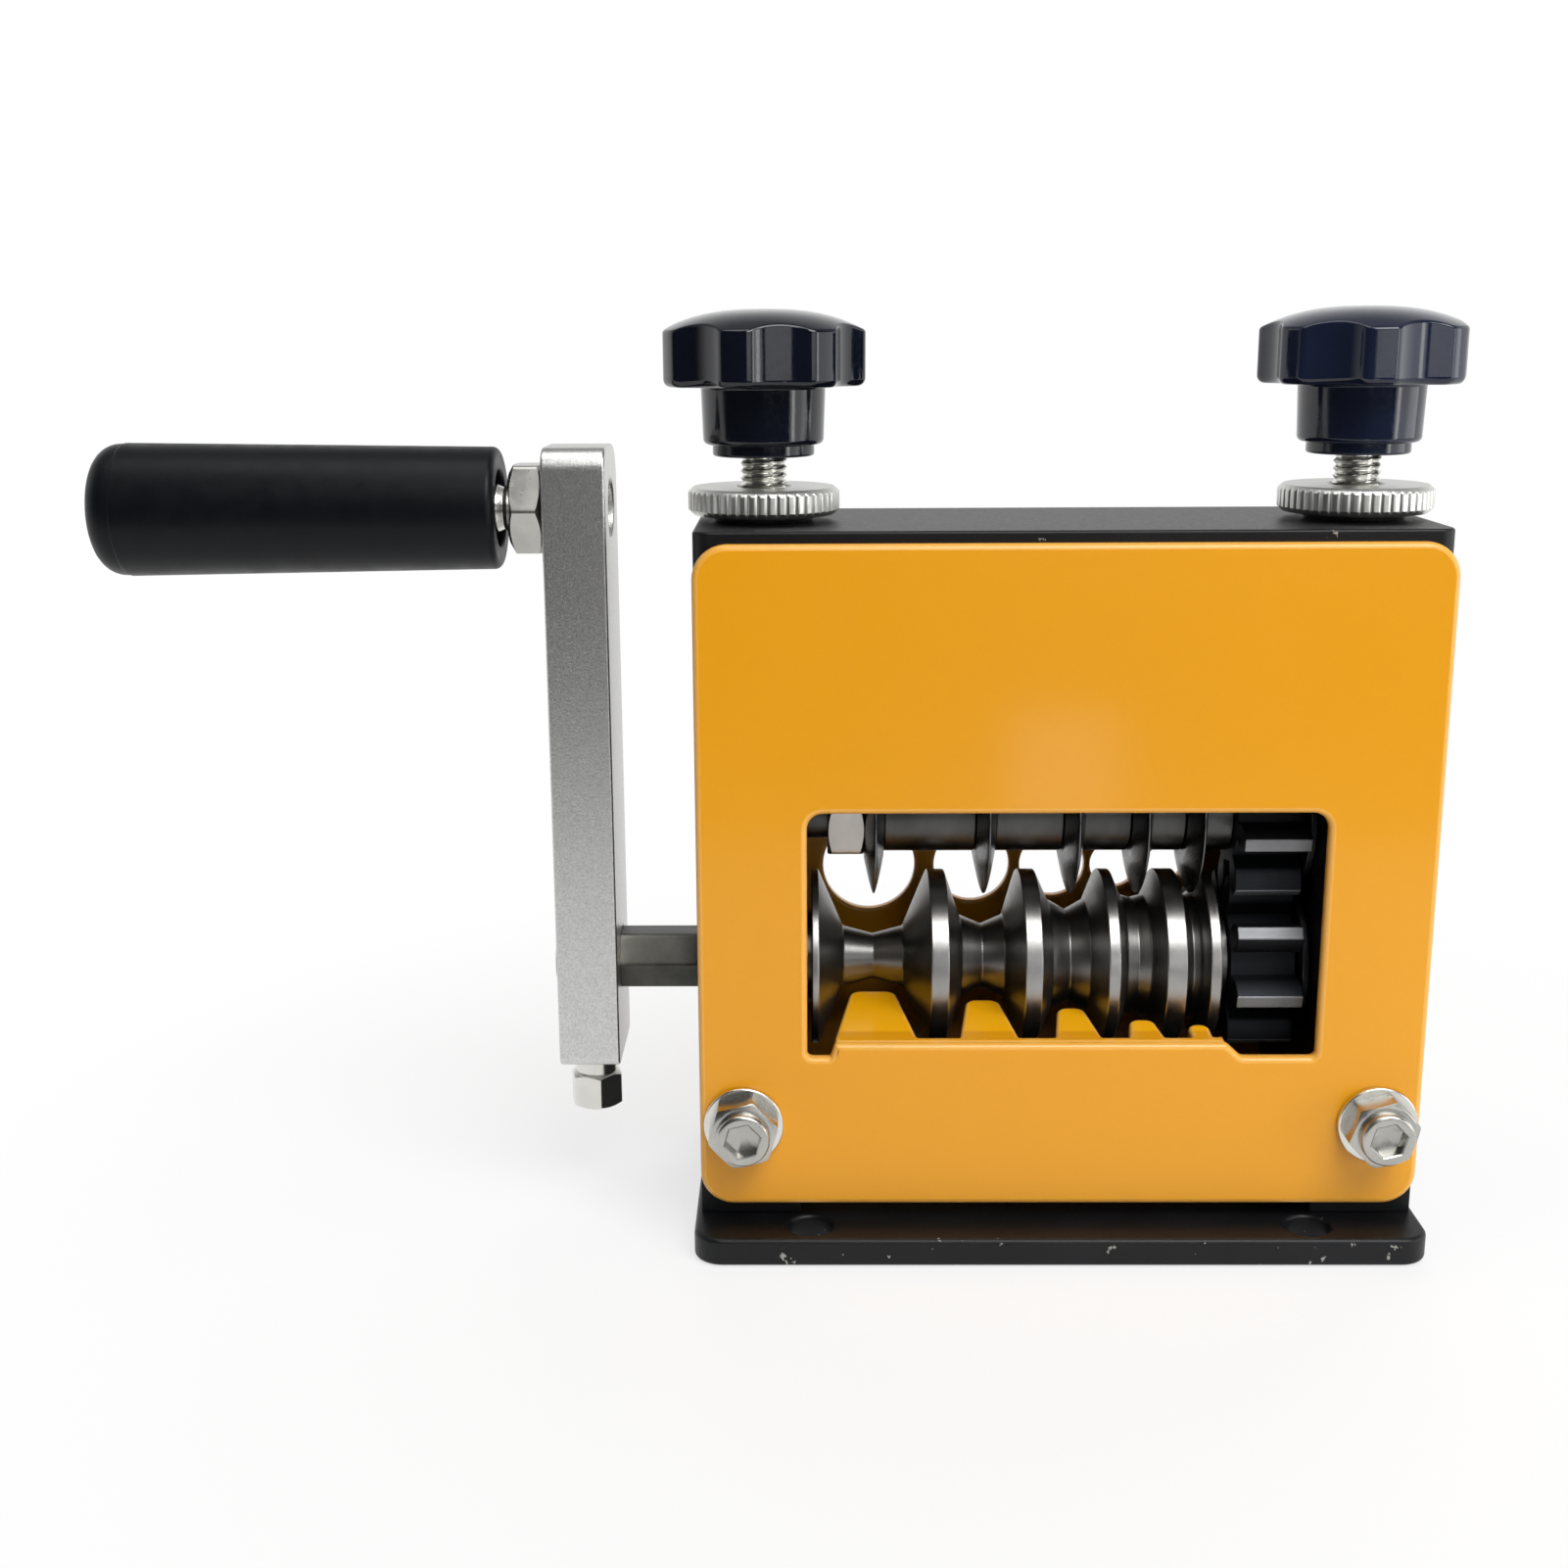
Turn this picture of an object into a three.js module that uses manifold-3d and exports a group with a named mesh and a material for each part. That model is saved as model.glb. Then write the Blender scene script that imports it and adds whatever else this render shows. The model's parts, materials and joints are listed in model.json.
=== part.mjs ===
// A hand-crank wire stripper. A grooved feed roller, turned by the crank, drives a geared shaft of
// five disc blades. The blade shaft runs in two blocks that two knob screws raise and lower.
import * as THREE from "three";
import { mergeVertices } from "three/addons/utils/BufferGeometryUtils.js";
import Module from "manifold-3d";

const wasm = await Module();
wasm.setup();

// All sizes are millimetres. X runs along the rollers with the crank at -X, Y runs from the front
// panel to the back, and Z is up from the underside of the base plate.

// Fits shared by the whole machine
const seatGap = 0.1; // between faces that rest on each other
const runningGap = 0.3; // between faces that turn past each other
const boreGap = 0.2; // radial, pin in bore
const overshoot = 1; // of a hole past the face that it leaves by
const fineSegments = 20; // facets round the roller, the blades and the bushes
const roundSegments = 16; // facets round other turned forms
const hexSegments = 18; // facets round a nut, a multiple of six
const smallSegments = 12; // facets round a bolt or a small hole
const cornerSteps = 2; // facets round a quarter turn of an outline

// Base plate
const baseOverhang = 1.25; // past each side of the frame
const baseDepth = 76;
const baseThickness = 6;
const baseCornerRadius = 6;
const baseHoleRadius = 4.5;
const baseHoleInsetX = 24.25;
const baseHoleInsetY = 7;

// Frame: two side blocks under a top plate, which has a tongue at each end that the studs go through
const frameDepth = 50;
const frameTop = 150.4;
const sideThickness = 21;
const topThickness = 13.5;
const topCornerRadius = 3.5;
const tongueDrop = 15; // below the top plate's underside
const tongueWidth = 36; // along Y
const plateEdge = 0.9; // rounding of every plate's edge

// Panels
const panelThickness = 3;
const panelLift = 3.2; // above the base plate
const panelDrop = 2.2; // below the top of the frame
const panelCornerRadius = 7;
const windowOverlap = 1.5; // of the panel past a side block's inner face
const windowBelow = 13; // roller axis to the window's lower edge
const windowAbove = 6; // blade axis to the window's upper edge
const windowCornerRadius = 3.3;
const feedHoleRise = 13.5; // above the roller axis

// Guide comb, bent inwards from the lower edge of the window
const combBelow = 10; // roller axis to the bend
const combRise = THREE.MathUtils.degToRad(6);
const combRightLip = 2; // past the last finger
const combEndSlant = 3.2;
const combSlotStart = 3.6; // from the panel's front face
const fingerCorner = 2.2;

// Feed roller
const rollerHeight = 55; // of its axis
const rollerEndPlay = 0.9;
const ridgeRadius = 19;
const ridgeWidths = [1.5, 3.7, 3.5, 2.3, 4.1, 2.25];
// Each groove is for one range of wire sizes, and has a comb finger in front and a feed hole behind.
const grooves = [
  { width: 23.7, floor: 13, floorRadius: 6.6, vee: 1.7, hole: 10.5, finger: 17.2, tip: 9.6, reach: 26 },
  { width: 16.1, floor: 9.4, floorRadius: 9, vee: 2, hole: 8.6, finger: 12.4, tip: 7, reach: 21.5 },
  { width: 14, floor: 8.1, floorRadius: 12.4, vee: 2.3, hole: 7.4, finger: 9.8, tip: 5.6, reach: 17.5 },
  { width: 9.9, floor: 5.2, floorRadius: 13.4, vee: 1.4, hole: 5.4, finger: 7.6, tip: 5, reach: 11.8 },
  { width: 4.95, floor: 2.6, floorRadius: 14, vee: 1, hole: 4.2, finger: 4.5, tip: 4.4, reach: 9.5 },
];
const leftJournalRadius = 10;
const rightJournalRadius = 7;
const rollerCollarRadius = 10;
const rollerCollarLength = 3.3;
const journalShortfall = 1; // of a journal's or a bush's end from the end of its bore

// Bushes
const bushWall = 2.5;
const bushFlangeThickness = 1.6;
const bushFlangeRadius = 15;

// Gears
const gearTeeth = 8;
const gearPitchRadius = 15.75;
const gearAddendum = 3.5;
const gearPressureAngle = THREE.MathUtils.degToRad(20);
const gearBacklash = 0.5;
const gearDedendum = 4.3;
const gearUndercut = THREE.MathUtils.degToRad(2.4);
const gearMeshTurn = THREE.MathUtils.degToRad(13); // of the drive gear's top tooth towards the front
const gearFlankSteps = 3;
const gearFace = 14;
const gearBoreSteps = 6; // half the facets round a gear's bore
const gearBoreFlat = 1.4; // depth of the flat that drives each gear
const thrustWasherThickness = 1.5;
const thrustPlay = 0.4; // between a thrust washer and the side block

// Blade shaft
const travelBelowRest = 1.5; // the blades can go this much lower, where the gears mesh fully
const bladeRadius = 18;
const bladeThickness = 4;
const bladeFlatRadius = 10.5; // full thickness out to here
const bladeEdge = 0.24;
const bladeBevelSteps = 2;
const bladeBevelPower = 0.8; // below 1 the ground faces bulge
const bladeShaftRadius = 6;
const bladeJournalRadius = 5;
const spacerRadius = 8.8;
const bladeNutAcrossFlats = 19;
const bladeNutThickness = 7;

// Bearing blocks, which slide in pockets cut into the side blocks
const pocketDepth = 14.5;
const pocketClearance = 6; // under a block at rest
const blockWidth = 24; // across the slide, along Y
const blockThickness = 14;
const blockBelow = 12; // below the blade axis
const blockAbove = 16;
const blockCorner = 1.5;
const blockEdge = 0.6;

// Knob screws
const studRadius = 4.9;
const studNeckRadius = 3.2;
const studNeckLength = 5;
const studButtonRadius = 4.6;
const studButtonThickness = 3;
const studButtonLift = 1; // of the button's top above the bottom of the neck slot
const studGrip = 12; // length inside the knob
const knobGap = 6.3; // bare stud between knob and lock nut at rest
const knobRadius = 21;
const knobLobes = 8;
const knobLobeDepth = 1.7;
const knobLobeSteps = 4; // facets round each lobe
const knobValleyPower = 1.3; // above 1 the valleys are narrower than the lobes
const knobHubRadius = 12.8;
const knobHubHeight = 14;
const knobHubRounding = 1.2;
const knobCollarRadius = 10.5;
const knobCollarHeight = 2.3;
const knobRimHeight = 10.2;
const knobDome = 5.2;
const knobDomeSteps = 3;
const knobEdge = 1.4;
const leftKnobTurn = THREE.MathUtils.degToRad(-82);
const rightKnobTurn = THREE.MathUtils.degToRad(-102);

// Knurled lock nuts under the knobs
const lockNutRadius = 15.7;
const lockNutThickness = 5.6;
const lockNutBossRadius = 11.5;
const lockNutBossHeight = 1.2;
const lockNutFlutes = 24;
const lockNutFluteDepth = 0.5;
const lockNutEdge = 0.8;

// Crank
const crankRadius = 98; // roller axis to handle axis
const armGap = 18; // between the arm and the frame
const armThickness = 13;
const armWidth = 25;
const armBelow = 21.3; // roller axis to the arm's lower end
const armCorner = 2.5;
const armEdge = 0.5;
const armEndSteps = 5;
const driveBarAcrossFlats = 12;
const driveBarProud = 1;
const driveBarEdge = 0.4;
const driveSocketDepth = 17;
const drivePinRadius = 1.5;
const drivePinInset = 0.5;
const setBoltRadius = 4.5;
const setBoltAcrossFlats = 10.5;
const setBoltHead = 6.8;
const setBoltGap = 6.7; // of bare shank under the arm

// Handle
const gripLength = 83.5;
const gripOuterRadius = 13.75;
const gripInnerRadius = 12.3;
const gripEndRounding = 4.5;
const gripEndSteps = 4;
const gripInnerChamfer = 1;
const gripRecessRadius = 9;
const gripRecessDepth = 2.2;
const gripBoreStop = 9; // solid length at the outer end
const spindleRadius = 5;
const spindleCollarRadius = 7.4;
const spindleCollarLength = 4.1;
const spindleCollarStep = 0.6; // the collar's cone starts this much wider than the pin
const spindleRecess = 1.5; // of the spindle end in the arm's inner face
const handleNutAcrossFlats = 17;
const handleNutThickness = 7.6;

// Fasteners
const hexChamfer = 0.6; // of the height of a hexagon's corner over its flats
const panelBoltInset = 9.2; // from the side of the frame
const panelBoltRise = 21.5; // above the base plate
const panelBoltRadius = 4;
const panelBoltEndGap = 12; // between the ends of a front and a rear bolt
const panelBoltAcrossFlats = 13;
const panelBoltHex = 5.4;
const panelBoltCap = 2.6;
const panelBoltCapRadius = 5.7;
const panelBoltCapEdge = 0.7;
const panelSocketAcrossFlats = 5;
const panelSocketDepth = 4;
const washerRadius = 8.3;
const washerThickness = 1.6;
const frameScrewInsetX = 10; // of a base screw from the side of the frame
const frameScrewInsetY = 6.4;
const frameScrewRadius = 3;
const baseScrewLength = 18;
const topScrewLength = 16;
const topScrewInset = 6; // from the tongue's end
const frameScrewHead = 3.3;
const frameScrewHeadRadius = 6.2;
const frameSocketAcrossFlats = 4;
const frameSocketDepth = 2.4;
const blindMargin = 1.5; // hole depth past a screw's end

// Widths, worked out from the roller and the gear beside it
const rollerLength = sum(ridgeWidths) + sum(grooves.map((groove) => groove.width));
const leftOfRoller = bushFlangeThickness + rollerEndPlay;
const rightOfGear = runningGap + thrustWasherThickness + thrustPlay;
const innerWidth = leftOfRoller + rollerLength + rollerCollarLength + gearFace + rightOfGear;
const sideInner = innerWidth / 2;
const frameWidth = innerWidth + 2 * sideThickness;
const frameSide = frameWidth / 2;
const baseWidth = frameWidth + 2 * baseOverhang;
const rollerLeft = leftOfRoller - sideInner;
const rollerRight = rollerLeft + rollerLength;
const gearLeft = rollerRight + rollerCollarLength;
const gearRight = gearLeft + gearFace;
const grooveCentres = grooves.map((groove, i) => grooveStart(i) + groove.width / 2);
const windowSide = sideInner - windowOverlap;
const combLeft = grooveCentres[0] - grooves[0].finger / 2;
const combRight = grooveCentres.at(-1) + grooves.at(-1).finger / 2 + combRightLip;
const studX = sideInner + blockThickness / 2 + boreGap;
const panelBoltX = frameSide - panelBoltInset;
const frameScrewX = frameSide - frameScrewInsetX;
const armOuter = -frameSide - armGap - armThickness;
const drivePinX = -frameSide + driveSocketDepth / 2;

// Heights and depths
const baseTop = baseThickness + seatGap;
const topUnderside = frameTop - topThickness;
const panelBottom = baseThickness + panelLift;
const panelHeight = frameTop - panelDrop - panelBottom;
const panelBoltHeight = baseTop + panelBoltRise;
const thrustWasherRadius = gearPitchRadius - runningGap;
const bladeHeight = rollerHeight + 2 * gearPitchRadius + travelBelowRest;
const windowBottom = rollerHeight - windowBelow;
const windowTop = bladeHeight + windowAbove;
const combHeight = rollerHeight - combBelow;
const panelBoltReach = (frameDepth - panelBoltEndGap) / 2;
const knobBase = frameTop + seatGap + lockNutBossHeight + lockNutThickness + knobGap;
const frontFace = -frameDepth / 2 - seatGap - panelThickness;
const frameScrewY = frameDepth / 2 - frameScrewInsetY;
const topScrewY = tongueWidth / 2 - topScrewInset;
const topScrewHeight = topUnderside - tongueDrop / 2;
const spindleCollarStart = handleNutThickness + 2 * seatGap;
const gripStart = spindleCollarStart + spindleCollarLength - gripRecessDepth + runningGap;

function sum(values) {
  return values.reduce((total, value) => total + value, 0);
}

// The left edge of groove number index, counted from 0.
function grooveStart(index) {
  const grooveWidths = grooves.slice(0, index).map((groove) => groove.width);
  return rollerLeft + sum(ridgeWidths.slice(0, index + 1)) + sum(grooveWidths);
}

// Colours and finishes
const finish = (color, roughness, metalness) =>
  new THREE.MeshStandardMaterial({ color, roughness, metalness, flatShading: true });
const yellowCoat = finish(0xe5a02d, 0.3, 0);
const blackCoat = finish(0x1b1c1f, 0.55, 0.1);
const phenolic = finish(0x11131a, 0.15, 0);
const gripPlastic = finish(0x15181c, 0.5, 0);
const zinc = finish(0xc9c9c4, 0.3, 1);
const aluminium = finish(0xb9bbbb, 0.45, 1);
const turnedSteel = finish(0x9a9a98, 0.2, 1);
const darkSteel = finish(0x55575a, 0.35, 1);
const bladeSteel = finish(0x6d6f71, 0.3, 1);
const gearSteel = finish(0x23262c, 0.4, 0.8);
const bronze = finish(0xa8793f, 0.4, 1);

// Solid geometry as a manifold solid, and back
function solidOf(geometry) {
  const bare = geometry.index ? geometry.toNonIndexed() : geometry.clone();
  bare.deleteAttribute("normal");
  bare.deleteAttribute("uv");
  const merged = mergeVertices(bare, 1e-4);
  return new wasm.Manifold(
    new wasm.Mesh({
      numProp: 3,
      vertProperties: merged.attributes.position.array,
      triVerts: new Uint32Array(merged.index.array),
    }),
  );
}

function geometryOf(solid) {
  const mesh = solid.getMesh();
  const geometry = new THREE.BufferGeometry();
  geometry.setAttribute("position", new THREE.BufferAttribute(mesh.vertProperties, 3));
  geometry.setIndex(new THREE.BufferAttribute(mesh.triVerts, 1));
  return geometry;
}

function cut(base, ...tools) {
  return geometryOf(tools.reduce((left, tool) => left.subtract(solidOf(tool)), solidOf(base)));
}

function join(base, ...pieces) {
  return geometryOf(pieces.reduce((sum, piece) => sum.add(solidOf(piece)), solidOf(base)));
}

function common(base, tool) {
  return geometryOf(solidOf(base).intersect(solidOf(tool)));
}

// Basic forms. A profile is a list of [radius, position along the axis] pairs.
function turned(profile, segments = roundSegments) {
  const points = profile.map(([radius, position]) => new THREE.Vector2(radius, position));
  return new THREE.LatheGeometry(points, segments).rotateX(Math.PI / 2);
}

function rod(radius, from, to, segments = roundSegments) {
  return turned([[0, from], [radius, from], [radius, to], [0, to]], segments);
}

function ring(inner, outer, from, to, segments = roundSegments) {
  const profile = [[inner, from], [outer, from], [outer, to], [inner, to], [inner, from]];
  return turned(profile, segments);
}

// Turns geometry built along Z so that it runs along +X, with its own X and Y on Y and Z.
function alongX(geometry) {
  const axes = new THREE.Matrix4().makeBasis(
    new THREE.Vector3(0, 1, 0),
    new THREE.Vector3(0, 0, 1),
    new THREE.Vector3(1, 0, 0),
  );
  return geometry.applyMatrix4(axes);
}

// Turns geometry built along Z so that it runs along -Y, with its own X and Y on X and Z.
function alongFront(geometry) {
  return geometry.rotateX(Math.PI / 2);
}

function block(width, depth, height, x, y, z) {
  return new THREE.BoxGeometry(width, depth, height).translate(x, y, z);
}

function roundedRectangle(left, bottom, width, height, radius) {
  const shape = new THREE.Shape();
  const right = left + width;
  const top = bottom + height;
  shape.moveTo(left + radius, bottom);
  shape.lineTo(right - radius, bottom);
  shape.absarc(right - radius, bottom + radius, radius, -Math.PI / 2, 0);
  shape.absarc(right - radius, top - radius, radius, 0, Math.PI / 2);
  shape.absarc(left + radius, top - radius, radius, Math.PI / 2, Math.PI);
  shape.absarc(left + radius, bottom + radius, radius, Math.PI, Math.PI * 1.5);
  return shape;
}

function circlePoints(radius, count) {
  return Array.from({ length: count }, (_, i) => {
    const angle = (i * 2 * Math.PI) / count;
    return new THREE.Vector2(radius * Math.cos(angle), radius * Math.sin(angle));
  });
}

function circle(x, y, radius) {
  const points = circlePoints(radius, smallSegments);
  return new THREE.Path(points.map((point) => point.add(new THREE.Vector2(x, y))));
}

function polygon(sides, acrossFlats) {
  const radius = acrossFlats / 2 / Math.cos(Math.PI / sides);
  return new THREE.Shape(circlePoints(radius, sides));
}

// A shape given thickness from z = 0 up, with its edges rounded inwards.
function slab(shape, thickness, edge = 0, segments = 1, curveSegments = cornerSteps) {
  return new THREE.ExtrudeGeometry(shape, {
    depth: thickness - 2 * edge,
    bevelEnabled: edge > 0,
    bevelThickness: edge,
    bevelSize: edge,
    bevelOffset: -edge,
    bevelSegments: segments,
    curveSegments,
  }).translate(0, 0, edge);
}

// A hexagon with its corners turned off at the ends, as on a nut or a bolt head.
function hexBlank(acrossFlats, thickness, { bothEnds = true } = {}) {
  const corner = acrossFlats / Math.sqrt(3);
  const chamfer = (corner - acrossFlats / 2) * hexChamfer;
  const start = bothEnds ? chamfer : 0;
  const profile = [
    [0, 0],
    [corner - start, 0],
    [corner, start],
    [corner, thickness - chamfer],
    [corner - chamfer, thickness],
    [0, thickness],
  ];
  const blank = turned(profile, hexSegments);
  return common(slab(polygon(6, acrossFlats), thickness), blank);
}

function part(name, geometry, material, x = 0, y = 0, z = 0) {
  const mesh = new THREE.Mesh(geometry, material);
  mesh.name = name;
  mesh.position.set(x, y, z);
  return mesh;
}

// Frame pieces
// A countersunk hole bored upwards from z = 0.
function countersunkHole(depth) {
  const hole = rod(frameScrewRadius + boreGap, -overshoot, depth, smallSegments);
  const rim = frameScrewHeadRadius + boreGap;
  const coneEnd = frameScrewHead + boreGap;
  const cone = turned(
    [[0, -overshoot], [rim, -overshoot], [rim, boreGap], [frameScrewRadius, coneEnd], [0, coneEnd]],
    smallSegments,
  );
  return join(hole, cone);
}

// Turns a screw or hole built along +Z so that it runs inwards from a side face of the frame.
function inwards(geometry, side) {
  return geometry.rotateY((-side * Math.PI) / 2);
}

function baseScrewPlaces() {
  return [-1, 1].flatMap((side) => [-1, 1].map((end) => [side * frameScrewX, end * frameScrewY]));
}

function basePlate() {
  const outline = roundedRectangle(-baseWidth / 2, -baseDepth / 2, baseWidth, baseDepth, baseCornerRadius);
  const depth = baseThickness + overshoot;
  const holes = baseScrewPlaces().map(([x, y]) => countersunkHole(depth).translate(x, y, 0));
  const holeX = baseWidth / 2 - baseHoleInsetX;
  const holeY = baseDepth / 2 - baseHoleInsetY;
  for (const x of [-holeX, holeX]) {
    for (const y of [-holeY, holeY]) {
      holes.push(rod(baseHoleRadius, -overshoot, depth, smallSegments).translate(x, y, 0));
    }
  }
  return cut(slab(outline, baseThickness, plateEdge), ...holes);
}

function topPlate() {
  const front = -frameDepth / 2;
  const outline = roundedRectangle(-frameSide, front, frameWidth, frameDepth, topCornerRadius);
  const plate = slab(outline, topThickness, plateEdge).translate(0, 0, topUnderside);
  const length = pocketDepth - seatGap;
  const height = tongueDrop + overshoot;
  const tongues = [-1, 1].map((side) => {
    const middle = side * (sideInner + length / 2);
    return block(length, tongueWidth, height, middle, 0, topUnderside + overshoot - height / 2);
  });
  const holes = [-1, 1].flatMap((side) => {
    const studDepth = topThickness + tongueDrop + overshoot;
    const studHole = rod(studRadius + 2 * boreGap, -studDepth, overshoot, smallSegments);
    const screwHoles = [-1, 1].map((end) => {
      const hole = rod(frameScrewRadius + boreGap, 0, topScrewLength + blindMargin, smallSegments);
      return inwards(hole, side).translate(side * frameSide, end * topScrewY, topScrewHeight);
    });
    return [studHole.translate(side * studX, 0, frameTop), ...screwHoles];
  });
  return cut(join(plate, ...tongues), ...holes);
}

// A box cut into a side block from its inner face and its top.
function openTopPocket(side, width, bottom) {
  const height = topUnderside - bottom;
  return block(2 * pocketDepth, width, height, side * sideInner, 0, bottom + height / 2);
}

function sideBlock(side) {
  const height = topUnderside - seatGap - baseTop;
  const middle = side * (frameSide - sideThickness / 2);
  const body = block(sideThickness, frameDepth, height, middle, 0, baseTop + height / 2);
  const pocketBottom = bladeHeight - blockBelow - pocketClearance;
  const slide = openTopPocket(side, blockWidth + 2 * runningGap, pocketBottom);
  const seat = openTopPocket(side, tongueWidth + 2 * seatGap, topUnderside - tongueDrop - seatGap);
  const journalRadius = side < 0 ? leftJournalRadius : rightJournalRadius;
  const boreRadius = journalRadius + boreGap + bushWall + seatGap;
  const boreEnd = side < 0 ? sideThickness + overshoot : pocketDepth;
  const bore = alongX(rod(boreRadius, -overshoot, boreEnd, fineSegments));
  bore.translate(sideInner, 0, rollerHeight);
  if (side < 0) bore.rotateZ(Math.PI);
  const boltDepth = panelBoltReach + blindMargin;
  const boltHole = rod(panelBoltRadius + boreGap, -overshoot, boltDepth, smallSegments);
  const front = alongFront(boltHole.clone()).rotateZ(Math.PI);
  const back = alongFront(boltHole.clone());
  front.translate(side * panelBoltX, -frameDepth / 2, panelBoltHeight);
  back.translate(side * panelBoltX, frameDepth / 2, panelBoltHeight);
  const baseScrewDepth = baseScrewLength - baseThickness + blindMargin;
  const screwHoles = [-1, 1].flatMap((end) => {
    const foot = rod(frameScrewRadius + boreGap, -overshoot, baseScrewDepth, smallSegments);
    const top = inwards(countersunkHole(sideThickness), side);
    return [
      foot.translate(side * frameScrewX, end * frameScrewY, baseTop),
      top.translate(side * frameSide, end * topScrewY, topScrewHeight),
    ];
  });
  return cut(body, slide, seat, bore, front, back, ...screwHoles);
}

function frameScrew(length) {
  const radius = frameScrewRadius;
  const body = turned(
    [[0, 0], [frameScrewHeadRadius, 0], [radius, frameScrewHead], [radius, length], [0, length]],
    smallSegments,
  );
  const socket = slab(polygon(6, frameSocketAcrossFlats), frameSocketDepth + overshoot);
  return cut(body, socket.translate(0, 0, -overshoot));
}

// Panels
function panelOutline() {
  return roundedRectangle(-frameSide, panelBottom, frameWidth, panelHeight, panelCornerRadius);
}

function addPanelBoltHoles(outline) {
  for (const side of [-1, 1]) {
    outline.holes.push(circle(side * panelBoltX, panelBoltHeight, panelBoltRadius + boreGap));
  }
}

// The window is a rounded rectangle whose lower edge steps up where the comb is bent in.
function windowHole() {
  const cornerX = windowSide - windowCornerRadius;
  const cornerZ = windowTop - windowCornerRadius;
  const hole = new THREE.Path();
  hole.moveTo(-windowSide, cornerZ);
  hole.absarc(-cornerX, cornerZ, windowCornerRadius, Math.PI, Math.PI / 2, true);
  hole.absarc(cornerX, cornerZ, windowCornerRadius, Math.PI / 2, 0, true);
  hole.lineTo(windowSide, windowBottom);
  hole.lineTo(combRight + combEndSlant, windowBottom);
  hole.quadraticCurveTo(combRight + combEndSlant / 3, windowBottom, combRight, combHeight);
  hole.lineTo(combLeft, combHeight);
  hole.lineTo(combLeft - combEndSlant / 3, windowBottom);
  hole.lineTo(-windowSide, windowBottom);
  return hole;
}

function fingerOutline(shape, centre, groove) {
  const { finger, tip, reach } = groove;
  shape.lineTo(centre - finger / 2, combSlotStart);
  shape.lineTo(centre - tip / 2, reach - fingerCorner);
  shape.quadraticCurveTo(centre - tip / 2, reach, centre - tip / 2 + fingerCorner, reach);
  shape.lineTo(centre + tip / 2 - fingerCorner, reach);
  shape.quadraticCurveTo(centre + tip / 2, reach, centre + tip / 2, reach - fingerCorner);
  shape.lineTo(centre + finger / 2, combSlotStart);
}

// The comb is drawn flat, X across and Y into the machine, then tilted up about the bend.
function comb() {
  const shape = new THREE.Shape();
  shape.moveTo(combLeft, plateEdge);
  grooves.forEach((groove, i) => fingerOutline(shape, grooveCentres[i], groove));
  shape.lineTo(combRight, combSlotStart);
  shape.lineTo(combRight, plateEdge);
  const sheet = slab(shape, panelThickness, 0, 1, 3).translate(0, 0, -panelThickness);
  return sheet.rotateX(combRise).translate(0, frontFace, combHeight);
}

function frontPanel() {
  const outline = panelOutline();
  outline.holes.push(windowHole());
  addPanelBoltHoles(outline);
  const plate = alongFront(slab(outline, panelThickness, plateEdge, 1, 3));
  return join(plate.translate(0, frontFace + panelThickness, 0), comb());
}

function rearPanel() {
  const outline = panelOutline();
  addPanelBoltHoles(outline);
  const plate = alongFront(slab(outline, panelThickness, plateEdge, 1, 3)).translate(0, -frontFace, 0);
  const holes = grooves.map((groove, i) => {
    const hole = alongFront(rod(groove.hole, -overshoot, panelThickness + overshoot));
    return hole.translate(grooveCentres[i], -frontFace, rollerHeight + feedHoleRise);
  });
  return cut(plate, ...holes);
}

// A bolt built along +Z from the washer face: shank below, hexagon and round socket cap above.
function panelBolt() {
  const clamped = washerThickness + panelThickness + 3 * seatGap;
  const shank = rod(panelBoltRadius, -clamped - panelBoltReach, overshoot, smallSegments);
  const head = hexBlank(panelBoltAcrossFlats, panelBoltHex);
  const total = panelBoltHex + panelBoltCap;
  const cap = turned(
    [
      [0, overshoot],
      [panelBoltCapRadius, overshoot],
      [panelBoltCapRadius, total - panelBoltCapEdge],
      [panelBoltCapRadius - panelBoltCapEdge, total],
      [0, total],
    ],
    smallSegments,
  );
  const socket = slab(polygon(6, panelSocketAcrossFlats), panelSocketDepth + overshoot);
  return cut(join(head, shank, cap), socket.translate(0, 0, total - panelSocketDepth));
}

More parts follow.
